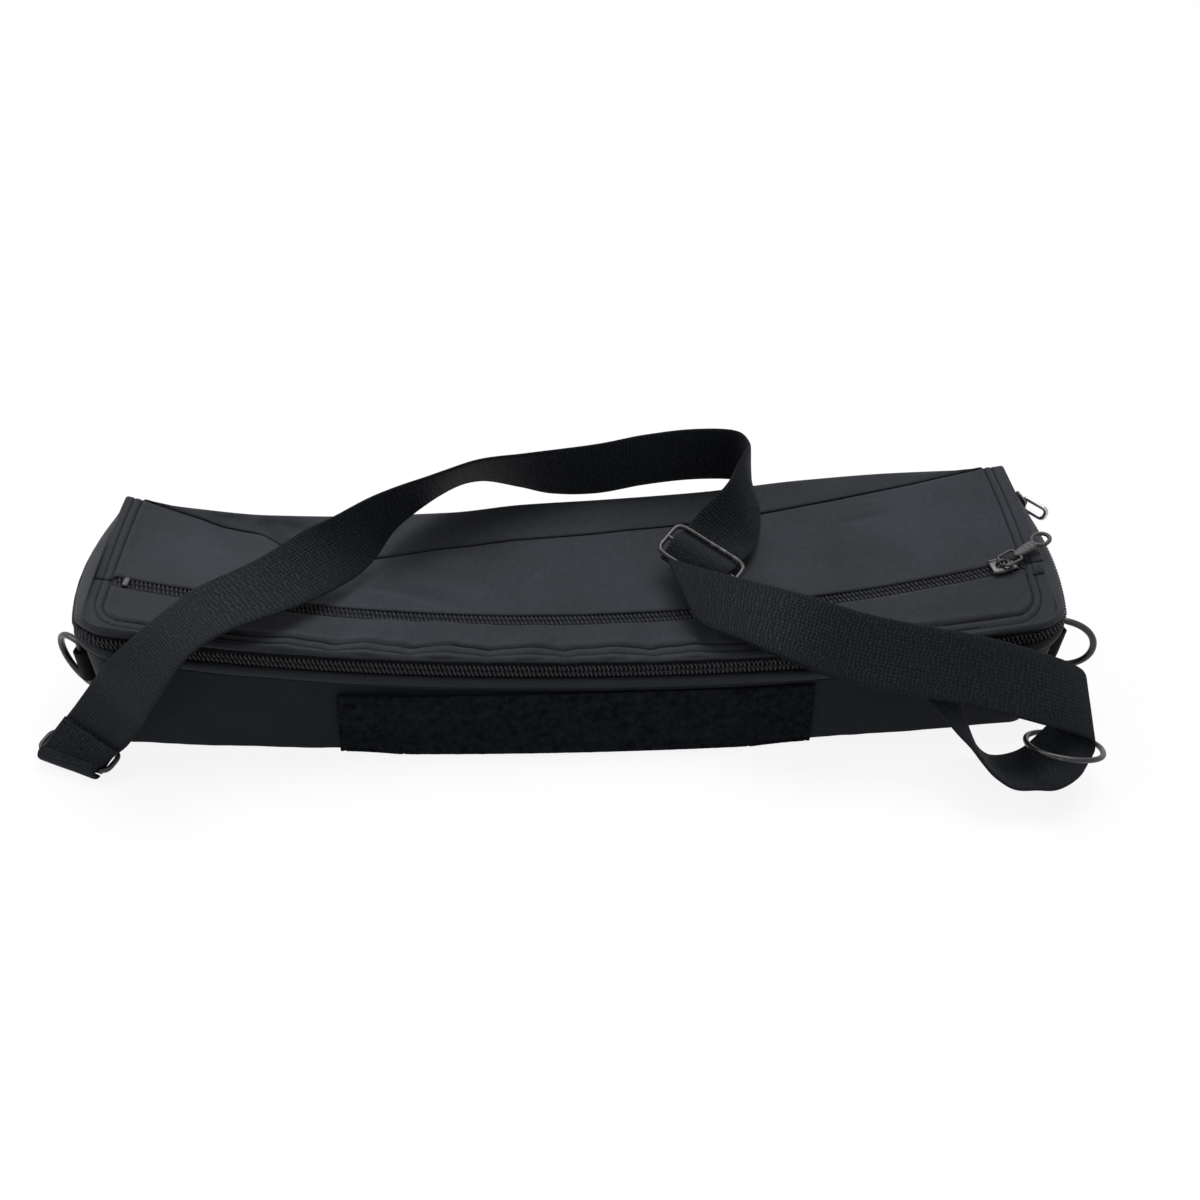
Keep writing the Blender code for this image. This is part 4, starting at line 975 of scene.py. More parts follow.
def wire_piece(name, paths, radius, body, node=None, finish=BLACK, sides=4, sharp=60):
    """Wires along lists of points, each path with whether it is closed."""
    curve = bpy.data.curves.new(name + "_path", "CURVE")
    curve.dimensions = "3D"
    curve.bevel_depth = radius
    curve.bevel_resolution = sides
    curve.use_fill_caps = True
    for points, closed in paths:
        spline = curve.splines.new("POLY")
        spline.points.add(len(points) - 1)
        for slot, point in zip(spline.points, points):
            slot.co = (*point, 1)
        spline.use_cyclic_u = closed
    holder = added(name + "_path", curve)
    bpy.context.view_layer.update()
    graph = bpy.context.evaluated_depsgraph_get()
    mesh = bpy.data.meshes.new_from_object(holder.evaluated_get(graph))
    bpy.data.objects.remove(holder, do_unlink=True)
    mesh.materials.clear()
    shape = bmesh.new()
    shape.from_mesh(mesh)
    bmesh.ops.remove_doubles(shape, verts=shape.verts, dist=MERGED)
    bmesh.ops.recalc_face_normals(shape, faces=shape.faces)
    shape.to_mesh(mesh)
    shape.free()
    mesh.name = name
    look, slot = finish
    return linked(name, mesh, look, body, [node] if node else (), sharp)


def flowing(points, steps=4):
    """More points on a smooth curve through those given."""
    found = []
    for i in range(len(points) - 1):
        found += [between(around(points, i), j / steps) for j in range(steps)]
    return [*found, points[-1]]


def turned(origin, along, across, up):
    made = Matrix.Identity(4)
    for column, axis in enumerate((along, across, up)):
        for row in range(3):
            made[row][column] = axis[row]
    made.translation = origin
    return made


def stitched(name, rows, body):
    """Rows of stitches: each row is a list of points with the cloth's normal there."""
    shape = bmesh.new()
    size = Matrix.Diagonal((STITCH / 2, THREAD, THREAD, 1))
    for row in rows:
        at = 0.0
        for (start, normal), (end, _) in zip(row, row[1:]):
            span = (end - start).length
            if span < 1e-7:
                continue
            along = (end - start) / span
            across = normal.cross(along).normalized()
            while at < span:
                where = start + along * at + normal * THREAD * 0.35
                place = turned(where, along, across, along.cross(across))
                bmesh.ops.create_uvsphere(shape, u_segments=6, v_segments=5, radius=1, matrix=place @ size)
                at += STITCH + STITCH_GAP
            at -= span
    linked(name, saved(name, shape), THREAD_BLACK, body)


# The tray: side cloth, base and lining


def near_back(run):
    """1 at the back corners, 0 from the ends of the zip on."""
    return held(1 - min(run, 5 - run) / ZIP_START)


def quilted(u, v):
    """0 on the lines that quilt the lining and near 1 between them."""
    along, across = QUILT_SQUARES
    return min(abs(math.sin(u * math.pi * along)), abs(math.sin(v * math.pi * across))) ** 0.4


def side_cloth_place(u, v):
    run = ROUND_PACE(u)
    top = on_wall(run, ZIP_LEVEL, mixed(-WALL_TOP, -CLOTH_ROOM, held(near_back(run) * 4))).z
    full = on_wall(run, 1.0).z
    if v < SIDE_TURN:
        angle = (1 - v / SIDE_TURN) * math.pi / 2
        height = BASE_ROLL - (BASE_ROLL - CLOTH_ROOM) * math.sin(angle)
        out = -BASE_ROLL * (1 - math.cos(angle)) * 0.6
    else:
        height = mixed(BASE_ROLL, top, (v - SIDE_TURN) / (1 - SIDE_TURN))
        out = 0.0
    edge = held((top - height) / RELIEF_FADE)
    relief = tray_relief(run, height) * held(edge + 0.2)
    handle = held(1.25 - abs(outline(run, 0.5).x) / (HANDLE_LENGTH / 2)) if 2 <= run <= 3 else 0
    relief = mixed(relief, min(relief, 0.0), held(handle * 6))
    return side_point(run, height, out + relief, full)


side_cloth = cloth_piece(
    "side_cloth",
    side_cloth_place,
    (400, 30),
    (0.64, 0.055),
    (SHADED_SIDE_CLOTH, LINING_CLOTH),
    "tray",
    ["front_wall", "left_end_wall", "right_end_wall"],
    WALL - GAP,
)


def base_edge(x):
    """The bottom panel's front edge, round its corners."""
    inner = abs(x) - (HALF - CORNER_RADIUS)
    if inner <= 0:
        return front_y(x, 0)
    edge = front_y(HALF - CORNER_RADIUS, 0) + CORNER_RADIUS
    return edge - math.sqrt(max(CORNER_RADIUS**2 - inner**2, 0))


def base_place(u, v):
    share = mixed(2 * u - 1, math.sin((2 * u - 1) * math.pi / 2), 0.8)
    x = share * HALF
    y = mixed(base_edge(x) + BASE_FRONT_IN, BACK - BASE_BACK_IN, v)
    x *= 1 - BASE_END_IN / HALF
    edge = min(y - base_edge(x), BACK - y, HALF - abs(x))
    sink = drift(x, y, 2, 0.030, 0.0005) + 0.0006 if edge > RELIEF_FADE else 0.0
    return Vector((x, y, BASE_LIFT + max(sink, 0) * held((edge - RELIEF_FADE) / 0.01)))


# The base cloth takes the side cloth's colour, with its painted shade
cloth_piece(
    "base_cloth",
    base_place,
    (90, 26),
    (LENGTH, DEPTH),
    SHADED_SIDE_CLOTH,
    "tray",
    ["bottom_panel"],
    BASE_THICKNESS - 0.0006,
    1.0,
)


def pad_place(u, v):
    inset = WALL + 3 * GAP
    x = mixed(-1, 1, u) * (HALF - inset - CORNER_RADIUS / 2)
    edge = front_y(x, 0) + inset + CORNER_RADIUS / 8
    y = mixed(edge, BACK - inset, v)
    near = min(x + HALF - inset, HALF - inset - x, y - edge, BACK - inset - y)
    puffed = (0.62 + 0.36 * quilted(u, v)) * held(near / 0.004 + 0.35) ** 0.5
    return Vector((x, y, BASE_THICKNESS + GAP + BASE_PAD * puffed))


foam_pad = cloth_piece(
    "foam_pad",
    pad_place,
    (168, 48),
    (LENGTH, DEPTH),
    LINING_CLOTH,
    "tray",
    ["base_foam_pad"],
    BASE_PAD * 0.45,
)


# The back: one cloth from the base up over the crest to the lid's back seam


def back_place(u, v):
    """From the base up the back wall, over the crest and forward to the seam."""
    share = 1 - 2 * u
    x = mixed(share, math.sin(share * math.pi / 2), 0.6) * (HALF - CLOTH_ROOM)
    crest = rim_height(x, 1)
    if v < BACK_TURN:
        angle = (1 - v / BACK_TURN) * math.pi / 2
        inward = BASE_ROLL * (1 - math.cos(angle)) * 0.8
        return Vector((x, BACK - inward, BASE_ROLL + CLOTH_ROOM - BASE_ROLL * math.sin(angle)))
    if v < CREST_START:
        share = (v - BACK_TURN) / (CREST_START - BACK_TURN)
        swell = math.sin(share * math.pi) * (drift(x, share * 0.05, 9, 0.03, 0.0005) - 0.0004)
        return Vector((x, BACK + swell, mixed(BASE_ROLL, crest - CREST_ROUND, share)))
    if v < CREST_END:
        angle = (v - CREST_START) / (CREST_END - CREST_START) * math.pi / 2
        inward, down = CREST_ROUND * (1 - math.cos(angle)), CREST_ROUND * (1 - math.sin(angle))
        return Vector((x, BACK - inward, crest - down))
    share = (v - CREST_END) / (1 - CREST_END)
    start = Vector((x, BACK - CREST_ROUND, crest))
    end = seam_edge(x, -GAP / 2)
    if end.y > start.y - 0.0006:
        end = Vector((x, start.y - 0.0006, crest))
    point = start.lerp(end, share)
    near = (1 - share) * (start - end).length
    point.z += lid_relief(x, point.y, front_edge(x).y) * held(share * 4)
    point.z += rolled(near, *BACK_ROLL)
    return point


back_cloth = cloth_piece(
    "back_cloth",
    back_place,
    (300, 60),
    (LENGTH, 0.10),
    (LID_CLOTH, LINING_CLOTH),
    None,
    ["back_wall", "lid_back_fold", "lid_back_flap"],
    SHEET,
)
bpy.context.view_layer.objects.active = back_cloth
back_cloth.select_set(True)
bpy.ops.object.modifier_apply(modifier="thickness")
back_cloth.select_set(False)
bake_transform(back_cloth)


def back_lining_place(u, v):
    x = mixed(-1, 1, u) * (HALF - WALL)
    top = min(rim_height(x, 1) - BACK_DROP, HINGE_LEVEL) - BACK_LINING
    puff = 0.0003 * math.sin(v * math.pi)
    return Vector((x, BACK - WALL + GAP + puff, mixed(LINING_FOOT, top, v)))


cloth_piece(
    "back_lining",
    back_lining_place,
    (80, 10),
    (LENGTH, 0.05),
    LINING_CLOTH,
    "tray",
    (),
    BACK_LINING,
)


# The lid's outer cloth


def wrapped(share):
    """How far out and down a turned edge goes, at a share of its quarter turn."""
    angle = held(share) * math.pi / 2
    return WRAP_OUT * math.sin(angle), -WRAP_DROP * (1 - math.cos(angle))


def lid_panel_place(first, last, front_panel):
    def put(u, v):
        across = 2 * u - 1
        share = held(across / TURN_START, -1, 1)
        share = mixed(share, math.sin(share * math.pi / 2), 0.7)
        x = share * HALF
        start, end = first(x), last(x)
        lap = 0.0
        if front_panel:
            lap = held(1 - v / FRONT_LAP)
            v = held((v - FRONT_LAP) / (1 - FRONT_LAP))
        point = start.lerp(end, v)
        side = x / HALF
        point.x = x + side * end_bulge(point.y, 1.0)
        wide = (end - start).length
        edge = (1 - v) * wide if front_panel else v * wide
        point.z += lid_relief(point.x, point.y, front_edge(x).y) + rolled(edge, *FRONT_ROLL)
        if not front_panel:
            point.z += rolled((1 - v) * wide, *BACK_ROLL)
        end_out, end_drop = wrapped((abs(across) - TURN_START) / (1 - TURN_START))
        front_out, front_drop = wrapped(lap)
        return point + Vector((side * end_out, -front_out, 0)) + Z * min(end_drop, front_drop)

    return put


front_place = lid_panel_place(front_edge, lambda x: zip_edge(x, -1), True)
rear_place = lid_panel_place(lambda x: zip_edge(x, 1), lambda x: seam_edge(x, GAP / 2), False)
for name, place, rows, wide, node in (
    ("lid_front_cloth", front_place, 34, 0.024, "lid_front_panel"),
    ("lid_rear_cloth", rear_place, 52, 0.062, "lid_rear_panel"),
):
    look = (LID_PANEL_CLOTH, LINING_CLOTH)
    piece = cloth_piece(
        name, place, (380, rows), (LENGTH, wide), look, "lid", [node], SHEET
    )
    # The distance to the seam, which the material reads for its painted seam shade
    marks = piece.data.attributes.new("inside_seam", "FLOAT", "POINT")
    for mark, vertex in zip(marks.data, piece.data.vertices):
        mark.value = seam_distance(vertex.co.x, vertex.co.y, front_edge(vertex.co.x).y)


def gusset_place(u, v):
    run = ROUND_PACE(u)
    foot = on_wall(run, ZIP_LEVEL, mixed(PANEL_EDGE, 0.0004, held(near_back(run) * 4)), 0)
    top = on_wall(run, drop=0.0003, out=0.0001)
    point = foot.lerp(top, v)
    tall = (top - foot).length
    bulge = GUSSET_BULGE[0] * math.sin(v * math.pi) + GUSSET_BULGE[1] * (1 - v)
    ripples = drift(point.x, point.y, 1, 0.011, 0.0006) * math.sin(v * math.pi)
    return point + outward_at(run, 0.9) * (bulge + ripples + rolled(v * tall, *GUSSET_ROLL))


cloth_piece(
    "lid_gusset_cloth",
    gusset_place,
    (400, 10),
    (0.61, 0.006),
    LID_CLOTH,
    "lid",
    ["lid_gusset"],
    SHEET * 0.6,
)


def lid_surface(x, v):
    """The lid's plain surface from the front seam, v 0, to the crest, v 1."""
    stops = (
        (0.0, front_edge(x)),
        (0.4, zip_edge(x, 0)),
        (0.9, seam_edge(x)),
        (1.0, Vector((x, BACK, rim_height(x, 1)))),
    )
    for a, b in zip(stops, stops[1:]):
        if v <= b[0]:
            return a[1].lerp(b[1], (v - a[0]) / (b[0] - a[0]))
    return stops[-1][1]


def lid_lining_place(u, v):
    x = mixed(-1, 1, u) * (HALF - INNER_INSET - LID_CORNER_RADIUS / 2)
    point = lid_surface(x, v)
    front = front_edge(x).y
    low = front + INNER_INSET + LID_CORNER_RADIUS / 3
    high = BACK - WALL - 2 * GAP
    point.y = mixed(low, high, (point.y - front) / (BACK - front))
    point.z -= SHEET + POCKET_ROOM + INNER_PANEL - LINING_RISE - QUILT_DEPTH * (1 - quilted(u, v))
    return point


lid_lining = cloth_piece(
    "lid_lining",
    lid_lining_place,
    (210, 60),
    (LENGTH, DEPTH),
    LINING_CLOTH,
    "lid",
    ["lid_inner_panel"],
    LINING_SHEET,
)


# The binding round the tray's rim, and the zips

BINDING_SECTION = (
    (0.0, 0.1),
    (0.03, 0.7),
    (0.09, 0.95),
    (0.17, 0.5),
    (0.26, 1.05),
    (0.5, 1.45),
    (0.78, 1.5),
    (0.94, 1.1),
    (1.0, 0.2),
    (0.9, -0.1),
    (0.5, -0.1),
    (0.1, -0.1),
    (0.0, 0.1),
)


def binding_sway(run):
    flat = outline(run, 0.7)
    return drift(flat.x, flat.y, 4, *BINDING_SWAY)


def binding_place(u, w):
    run = ZIP_PACE(u)
    high, out = on_section(BINDING_SECTION, w)
    rise = mixed(-BINDING_BOTTOM, -BINDING_TOP + 0.0003, high) + binding_sway(run) * (1 - high)
    plump = mixed(BINDING_SLIM, 1.0, held(-outline(run, 0.7).y / 0.02))
    return on_wall(run, ZIP_LEVEL, rise, GAP / 2 + out * plump * SHEET * 1.15)


wrapped_piece(
    "rim_binding_tape",
    binding_place,
    (380, 24),
    (0.61, 0.0052),
    BINDING_CLOTH,
    "tray",
    ["rim_binding"],
)

binding_row = []
for i in range(421):
    run = ZIP_PACE(i / 420)
    rise = BINDING_SEAM - BINDING_BOTTOM + binding_sway(run) * 0.8
    spot = on_wall(run, ZIP_LEVEL, rise, GAP / 2 + SHEET * 0.75)
    binding_row.append((spot, outward_at(run, 0.7)))
stitched("rim_binding_stitches", [binding_row], "tray")


def tape_place(low, high, drop):
    def put(u, v):
        run = ZIP_PACE(u)
        foot = on_wall(run, ZIP_LEVEL, low, TAPE_OUT)
        if drop is None:
            return foot.lerp(on_wall(run, ZIP_LEVEL, high, TAPE_OUT), v)
        return foot.lerp(on_wall(run, drop=drop, out=TAPE_OUT), v)

    return put


def tape_piece(name, place, counts, size, body, node):
    cloth_piece(name, place, counts, size, TAPE_CLOTH, body, [node], TAPE_SHEET)


lower_tape = tape_place(-TAPE_END, -TAPE_EDGE, None)
upper_tape = tape_place(TAPE_EDGE, 0.0, UPPER_TAPE_DROP)
tape_piece("lower_zip_tape", lower_tape, (300, 4), (0.61, 0.008), "tray", "main_zip_lower_tape")
tape_piece("upper_zip_tape", upper_tape, (300, 4), (0.61, 0.008), "lid", "main_zip_upper_tape")


def coil_piece(name, seat_at, length, size, shift, finish, body, node):
    """A coil's wire: turns round a path, tall across the tape and deep out from it."""
    tall, deep = size
    last = int(length / COIL_PITCH) * COIL_STEPS
    points = []
    for i in range(last + 1):
        angle = 2 * math.pi * (i / COIL_STEPS + shift)
        centre, across, out = seat_at(i / last)
        points.append(centre + across * tall * math.cos(angle) + out * deep * math.sin(angle))
    wire_piece(name, [(points, False)], COIL_WIRE, body, node, finish, 0, COIL_SHARP)


for name, side, reach, body in (("lower", -1, 1.0, "tray"), ("upper", 1, COIL_REACH, "lid")):

    def main_seat(u, side=side, reach=reach):
        run = ZIP_PACE(u * reach)
        centre = on_wall(run, ZIP_LEVEL, side * COIL_OFFSET * COIL_RISE, COIL_OUT)
        return centre, Z, outward_at(run, 0.85)

    coil_piece(
        name + "_zip_coil",
        main_seat,
        MAIN_ZIP_LENGTH * reach,
        MAIN_COIL,
        0.25 + 0.25 * side,
        COIL,
        body,
        f"main_zip_{name}_coil",
    )

for name, side, inner in (("rear", 1, -TAPE_EDGE), ("front", -1, 0.00032)):

    def pocket_tape_place(u, v, side=side, inner=inner):
        point, along, back, up = pocket_frame(mixed(-POCKET_TAPE_END, POCKET_TAPE_END, u) * side)
        return point + back * side * mixed(inner, TAPE_END - GAP, v) - up * POCKET_TAPE_SINK

    def pocket_seat(u, side=side):
        point, along, back, up = pocket_frame(mixed(-POCKET_COIL_END, POCKET_COIL_END, u))
        centre = point + back * side * COIL_OFFSET + up * (POCKET_COIL_LIFT - POCKET_COIL_SINK)
        return centre, back, up

    tape = name + "_pocket_tape"
    tape_piece(tape, pocket_tape_place, (160, 4), (0.39, 0.008), "lid", f"pocket_zip_{name}_tape")
    coil_piece(
        name + "_pocket_coil",
        pocket_seat,
        2 * POCKET_COIL_END,
        POCKET_COIL,
        0.25 + 0.25 * side,
        DARK_COIL,
        "lid",
        f"pocket_zip_{name}_coil",
    )


# Zip sliders and pulls


def slider(name, origin, axes, coil_top, grip, body, node):
    """A shield-shaped slider: narrowed at one end, hollow under, with an arched bridge."""
    along, across, up = axes
    roof = coil_top + SLIDER_ROOM + SLIDER_PLATE
    shape = bmesh.new()
    bmesh.ops.create_grid(shape, x_segments=16, y_segments=12, size=1)
    for vert in shape.verts:
        t, s = vert.co.x, vert.co.y
        narrow = 1 - 0.30 * held(t) ** 1.5 - 0.12 * held(-t - 0.6) / 0.4
        y = s * SLIDER_WIDTH / 2 * narrow
        crown = -abs(s) ** 3.5 * SLIDER_CROWN[0] - abs(t) ** 4 * SLIDER_CROWN[1]
        vert.co = (t * SLIDER_LENGTH / 2, y, roof + crown)
    bmesh.ops.solidify(shape, geom=shape.faces[:], thickness=SLIDER_PLATE * 0.9)
    flange = SLIDER_ROOM + SLIDER_PLATE + grip
    size = (SLIDER_LENGTH * 0.86, (SLIDER_WIDTH - CHANNEL_WIDTH) / 2 * 0.8, flange)
    for side in (-1, 1):
        made = bmesh.ops.create_cube(shape, size=1)
        bmesh.ops.scale(shape, vec=size, verts=made["verts"])
        beside = side * (SLIDER_WIDTH + CHANNEL_WIDTH) / 4 * 0.97
        shift = (-SLIDER_LENGTH * 0.03, beside, roof - flange / 2)
        bmesh.ops.translate(shape, vec=shift, verts=made["verts"])
    bmesh.ops.recalc_face_normals(shape, faces=shape.faces)
    bmesh.ops.transform(shape, matrix=turned(origin, along, across, up), verts=shape.verts)
    piece = linked(name, saved(name, shape), BLACK_METAL, body, [node], 35)
    rounded = piece.modifiers.new("rounding", "BEVEL")
    rounded.width = SLIDER_ROUND
    rounded.segments = 2
    arch = []
    for i in range(13):
        angle = math.pi * i / 12
        high = roof - BRIDGE_SUNK + math.sin(angle) ** 0.7 * BRIDGE_RISE
        arch.append(origin + along * math.cos(angle) * BRIDGE_REACH + up * high)
    wire_piece(name + "_bridge", [(arch, False)], BRIDGE_WIRE, body, sides=3)
    return origin + up * (roof + SLIDER_PLATE / 8 + PIN_HOLE / 2)


def rounded_loop(origin, along, across, length, width, corner):
    """A closed path: a rectangle with rounded corners, its near bar at the origin."""
    far, half = length - corner, width / 2 - corner
    points = []
    for quarter, (cx, cy) in enumerate(((far, half), (corner, half), (corner, -half), (far, -half))):
        for i in range(7):
            turn = (quarter + i / 6) * math.pi / 2
            x, y = cx + corner * math.cos(turn), cy + corner * math.sin(turn)
            points.append(origin + along * x + across * y)
    return [(points, True)]


def rounded_power(value, power):
    return math.copysign(abs(value) ** power, value)


def oval(centre, first, second, length, width, power=1.0, count=80):
    """A closed path, squarer the lower its power."""
    points = []
    for i in range(count):
        turn = 2 * math.pi * i / count
        x = rounded_power(math.cos(turn), power) * length / 2
        y = rounded_power(math.sin(turn), power) * width / 2
        points.append(centre + first * x + second * y)
    return points, True


point, along, back, up = pocket_frame(POCKET_SLIDER_X)
pocket_top = POCKET_COIL_LIFT + COIL_RADIUS
pocket_hole = slider(
    "pocket_slider_body", point, (along, back, up), pocket_top, GAP, "pocket_slide", "pocket_slider"
)
link_along = Vector((0.90, 0.45, 0.13)).normalized()
link_across = up.cross(link_along).normalized()
link_loop = rounded_loop(pocket_hole, link_along, link_across, LINK_LENGTH, LINK_WIDTH, LINK_WIDTH / 4)
wire_piece("pocket_link_wire", link_loop, PULL_WIRE, "pocket_link", "pocket_pull_link")
tab_along = Vector((0.84, 0.55, 0.068)).normalized()
tab_across = up.cross(tab_along).normalized()
tab_up = tab_along.cross(tab_across)
tab_start = pocket_hole + link_along * LINK_LENGTH


def pull_tab_place(u, w):
    """A moulded strip: a narrow neck, a wider grip and a rounded end."""
    t = u * TAB_LENGTH * TAB_STRIP
    middle = (u - 0.5) / 0.5
    wide = TAB_WIDTH / 2 * (0.78 + 0.42 * math.sin(held(u * 1.25) * math.pi * 0.5))
    wide *= math.sqrt(held(1 - middle**6, 0.04))
    thick = TAB_THICKNESS / 2 * (0.82 + 0.12 * math.cos(u * math.pi * 10) * held(8 * (u - 0.35)))
    thick *= math.sqrt(held(1 - middle**8, 0.04))
    angle = 2 * math.pi * w
    y = rounded_power(math.cos(angle), 0.55) * wide
    z = rounded_power(math.sin(angle), 0.65) * thick
    return tab_start + tab_along * (t - TAB_EYE) + tab_across * y + tab_up * z


wrapped_piece(
    "pocket_pull_rubber",
    pull_tab_place,
    (60, 24),
    (TAB_LENGTH, TAB_WIDTH),
    PULL_RUBBER,
    "pocket_tab",
    ["pocket_pull_tab"],
)
eye_centre = tab_start + tab_along * TAB_LENGTH * TAB_EYE_AT
tab_eye = [oval(eye_centre, tab_along, tab_across, *TAB_EYE_SIZE, count=40)]
wire_piece("pocket_pull_eye", tab_eye, TAB_EYE_WIRE, "pocket_tab", None, RUBBER, 3)

here = on_wall(MAIN_SLIDER_RUN, ZIP_LEVEL)
ahead = on_wall(MAIN_SLIDER_RUN + 0.01, ZIP_LEVEL)
behind = on_wall(MAIN_SLIDER_RUN - 0.01, ZIP_LEVEL)
main_along = (ahead - behind).normalized()
main_out = main_along.cross(Z).normalized()
main_up = main_out.cross(main_along).normalized()
main_axes = (main_along, main_up, main_out)
main_top = COIL_OUT + COIL_RADIUS
main_hole = slider("main_slider_body", here, main_axes, main_top, -GAP / 2, "main_slide", "main_slider")
pull_along = square_to((main_out * 0.45 - main_along * 0.87).normalized(), main_up)
pull_size = (MAIN_PULL_LENGTH * MAIN_PULL_SHOWN, MAIN_PULL_WIDTH, MAIN_PULL_WIDTH / 3)
main_loop = rounded_loop(main_hole, pull_along, main_up, *pull_size)
wire_piece("main_pull_wire", main_loop, MAIN_PULL_WIRE, "main_tab", "main_pull", BRIGHT)


# Rings, loops, hooks and the slide


def ring_frame(side):
    run = 1 - RING_BACK / (DEPTH - CORNER_RADIUS)
    run = run if side < 0 else 5 - run
    share = held(RING_LEVEL / on_wall(run, 1.0).z)
    foot = on_wall(run, share)
    out_point = outline(run, share, RING_OUT)
    outward = (out_point - outline(run, share)).normalized()
    centre = Vector((out_point.x, out_point.y, foot.z))
    backward = Z.cross(outward)
    backward = backward if backward.y > 0 else -backward
    return centre, outward, backward.normalized(), run


def d_ring(side, where, toward_back):
    centre = ring_frame(side)[0]
    turn = math.radians(toward_back)
    lean = X * side * math.cos(turn) + Y * math.sin(turn)
    points = []
    for i in range(45):
        angle = math.pi * (i / 44 - 0.5)
        bow = lean * RING_BOW * max(math.cos(angle), 0) ** 0.8
        points.append(centre + bow + Z * RING_BAR / 2 * math.sin(angle))
    points += [centre + Z * RING_BAR * (0.5 - i / 12) for i in range(1, 12)]
    wire_piece(
        where + "_ring_wire", [(points, True)], RING_WIRE, where + "_ring", where + "_d_ring", sides=5
    )


d_ring(-1, "left", 40)
d_ring(1, "right", -20)

WEBBING_SECTION = (
    (0.0, 0.0),
    (0.006, 0.55),
    (0.028, 0.9),
    (0.08, 1.0),
    (0.2, 0.98),
    (0.35, 0.96),
    (0.5, 0.95),
    (0.65, 0.96),
    (0.8, 0.98),
    (0.92, 1.0),
    (0.972, 0.9),
    (0.994, 0.55),
    (1.0, 0.0),
)


def section_at(w):
    """A point round the webbing's section: across 0 to 1, and -1 to 1 through it."""
    across, through = on_section(WEBBING_SECTION, (w if w <= 0.5 else 1 - w) * 2)
    return across, through if w <= 0.5 else -through


def webbing_piece(name, frames, nodes, size=(WEBBING, STRAP_THICKNESS), look=STRAP_WEBBING, body="strap"):
    """Webbing through frames: each a centre, the direction across and the normal."""
    width, thickness = size
    last = len(frames) - 1
    length = sum((b[0] - a[0]).length for a, b in zip(frames, frames[1:]))

    def put(u, w):
        centre, across, normal = frames[round(u * last)]
        share, through = section_at(w)
        spot = centre + across * width * (share - 0.5)
        waver = drift(spot.x, spot.y, spot.z, 0.012, 0.00012)
        return spot + normal * (through * thickness / 2 + waver)

    wrapped_piece(name, put, (last, 48), (length, width), look, body, nodes)


def run_frame(stations, at):
    """The centre, the direction across and the normal at a share of the way along."""
    centre, across = spline_at(stations, at)
    before = spline_at(stations, max(at - RUN_STEP, 0))[0]
    after = spline_at(stations, min(at + RUN_STEP, 1))[0]
    return centre, across, across.cross(after - before).normalized()


LONG_RUN = placed(LONG_RUN_SHARES)
glide_centre = at_shares((0.2800, -0.0200, 0.970))
glide_across = Vector((0.78, -0.59, -0.20)).normalized()
glide_along = square_to(Vector((-0.62, -0.77, -0.15)), glide_across)
glide_up = glide_along.cross(glide_across)
weave = GLIDE_WIRE + STRAP_THICKNESS / 2 + 3 * GAP
for along_share, up_share in ((-1.6, -1.1), (-1.0, -1.0), (0.0, 1.0), (0.92, -0.78), (1.08, -0.5)):
    spot = glide_centre + glide_along * GLIDE_WIDTH / 2 * along_share + glide_up * weave * up_share
    LONG_RUN.append((spot, glide_across))
webbing_piece("strap_long_webbing", [run_frame(LONG_RUN, i / 620) for i in range(621)], ["strap_long_run"])

DOUBLED_RUN = placed(DOUBLED_RUN_SHARES)
doubled_nodes = ["strap_top_run", "strap_slack_loop", "strap_under_run"]
doubled_frames = [run_frame(DOUBLED_RUN, i / 520) for i in range(521)]
webbing_piece("strap_doubled_webbing", doubled_frames, doubled_nodes)

fold_across = Vector((0.91, -0.41, 0.0)).normalized()
fold_back = Vector((0.41, 0.91, 0.0)).normalized()
fold_centre = at_shares((-1.066, -1.262, 0.068))


def strap_end_frame(u):
    """From the cut edge down the top of the long run and round the loop's bar."""
    if u < END_BEND:
        centre, across, normal = run_frame(LONG_RUN, mixed(*END_SPAN, u / END_BEND))
        lift = mixed(END_LAP, 2 * FOLD_RADIUS, (u / END_BEND) ** 2)
        return centre + normal * lift, across, normal
    turn = (u - END_BEND) / (1 - END_BEND) * math.pi
    normal = Z * math.cos(turn) - fold_back * math.sin(turn)
    return fold_centre + normal * FOLD_RADIUS, fold_across, normal


webbing_piece("strap_end_webbing", [strap_end_frame(i / 120) for i in range(121)], ["strap_left_end"])


def strap_end_row(start, end):
    """A row of stitches between two points, each a share across and one along."""
    row = []
    for i in range(25):
        side, at = (mixed(a, b, i / 24) for a, b in zip(start, end))
        centre, across, normal = strap_end_frame(at)
        row.append((centre + across * WEBBING * side + normal * STRAP_THICKNESS * 0.5, normal))
    return row


SEWN = 0.44
NEAR, FAR = 0.05, 0.46
END_ROWS = (
    ((-SEWN, NEAR), (SEWN, NEAR)),
    ((-SEWN, 0.11), (SEWN, 0.11)),
    ((-SEWN, FAR), (SEWN, FAR)),
    ((-SEWN, NEAR), (-SEWN, FAR)),
    ((SEWN, NEAR), (SEWN, FAR)),
    ((-SEWN, NEAR), (SEWN, FAR)),
    ((SEWN, NEAR), (-SEWN, FAR)),
)
stitched("strap_end_stitches", [strap_end_row(*ends) for ends in END_ROWS], "strap")


def strap_loop(where, centre, first, second, length, width, power):
    path = oval(centre, first, second, length, width, power)
    wire_piece(where + "_loop_wire", [path], LOOP_WIRE, where + "_loop", where + "_strap_loop")


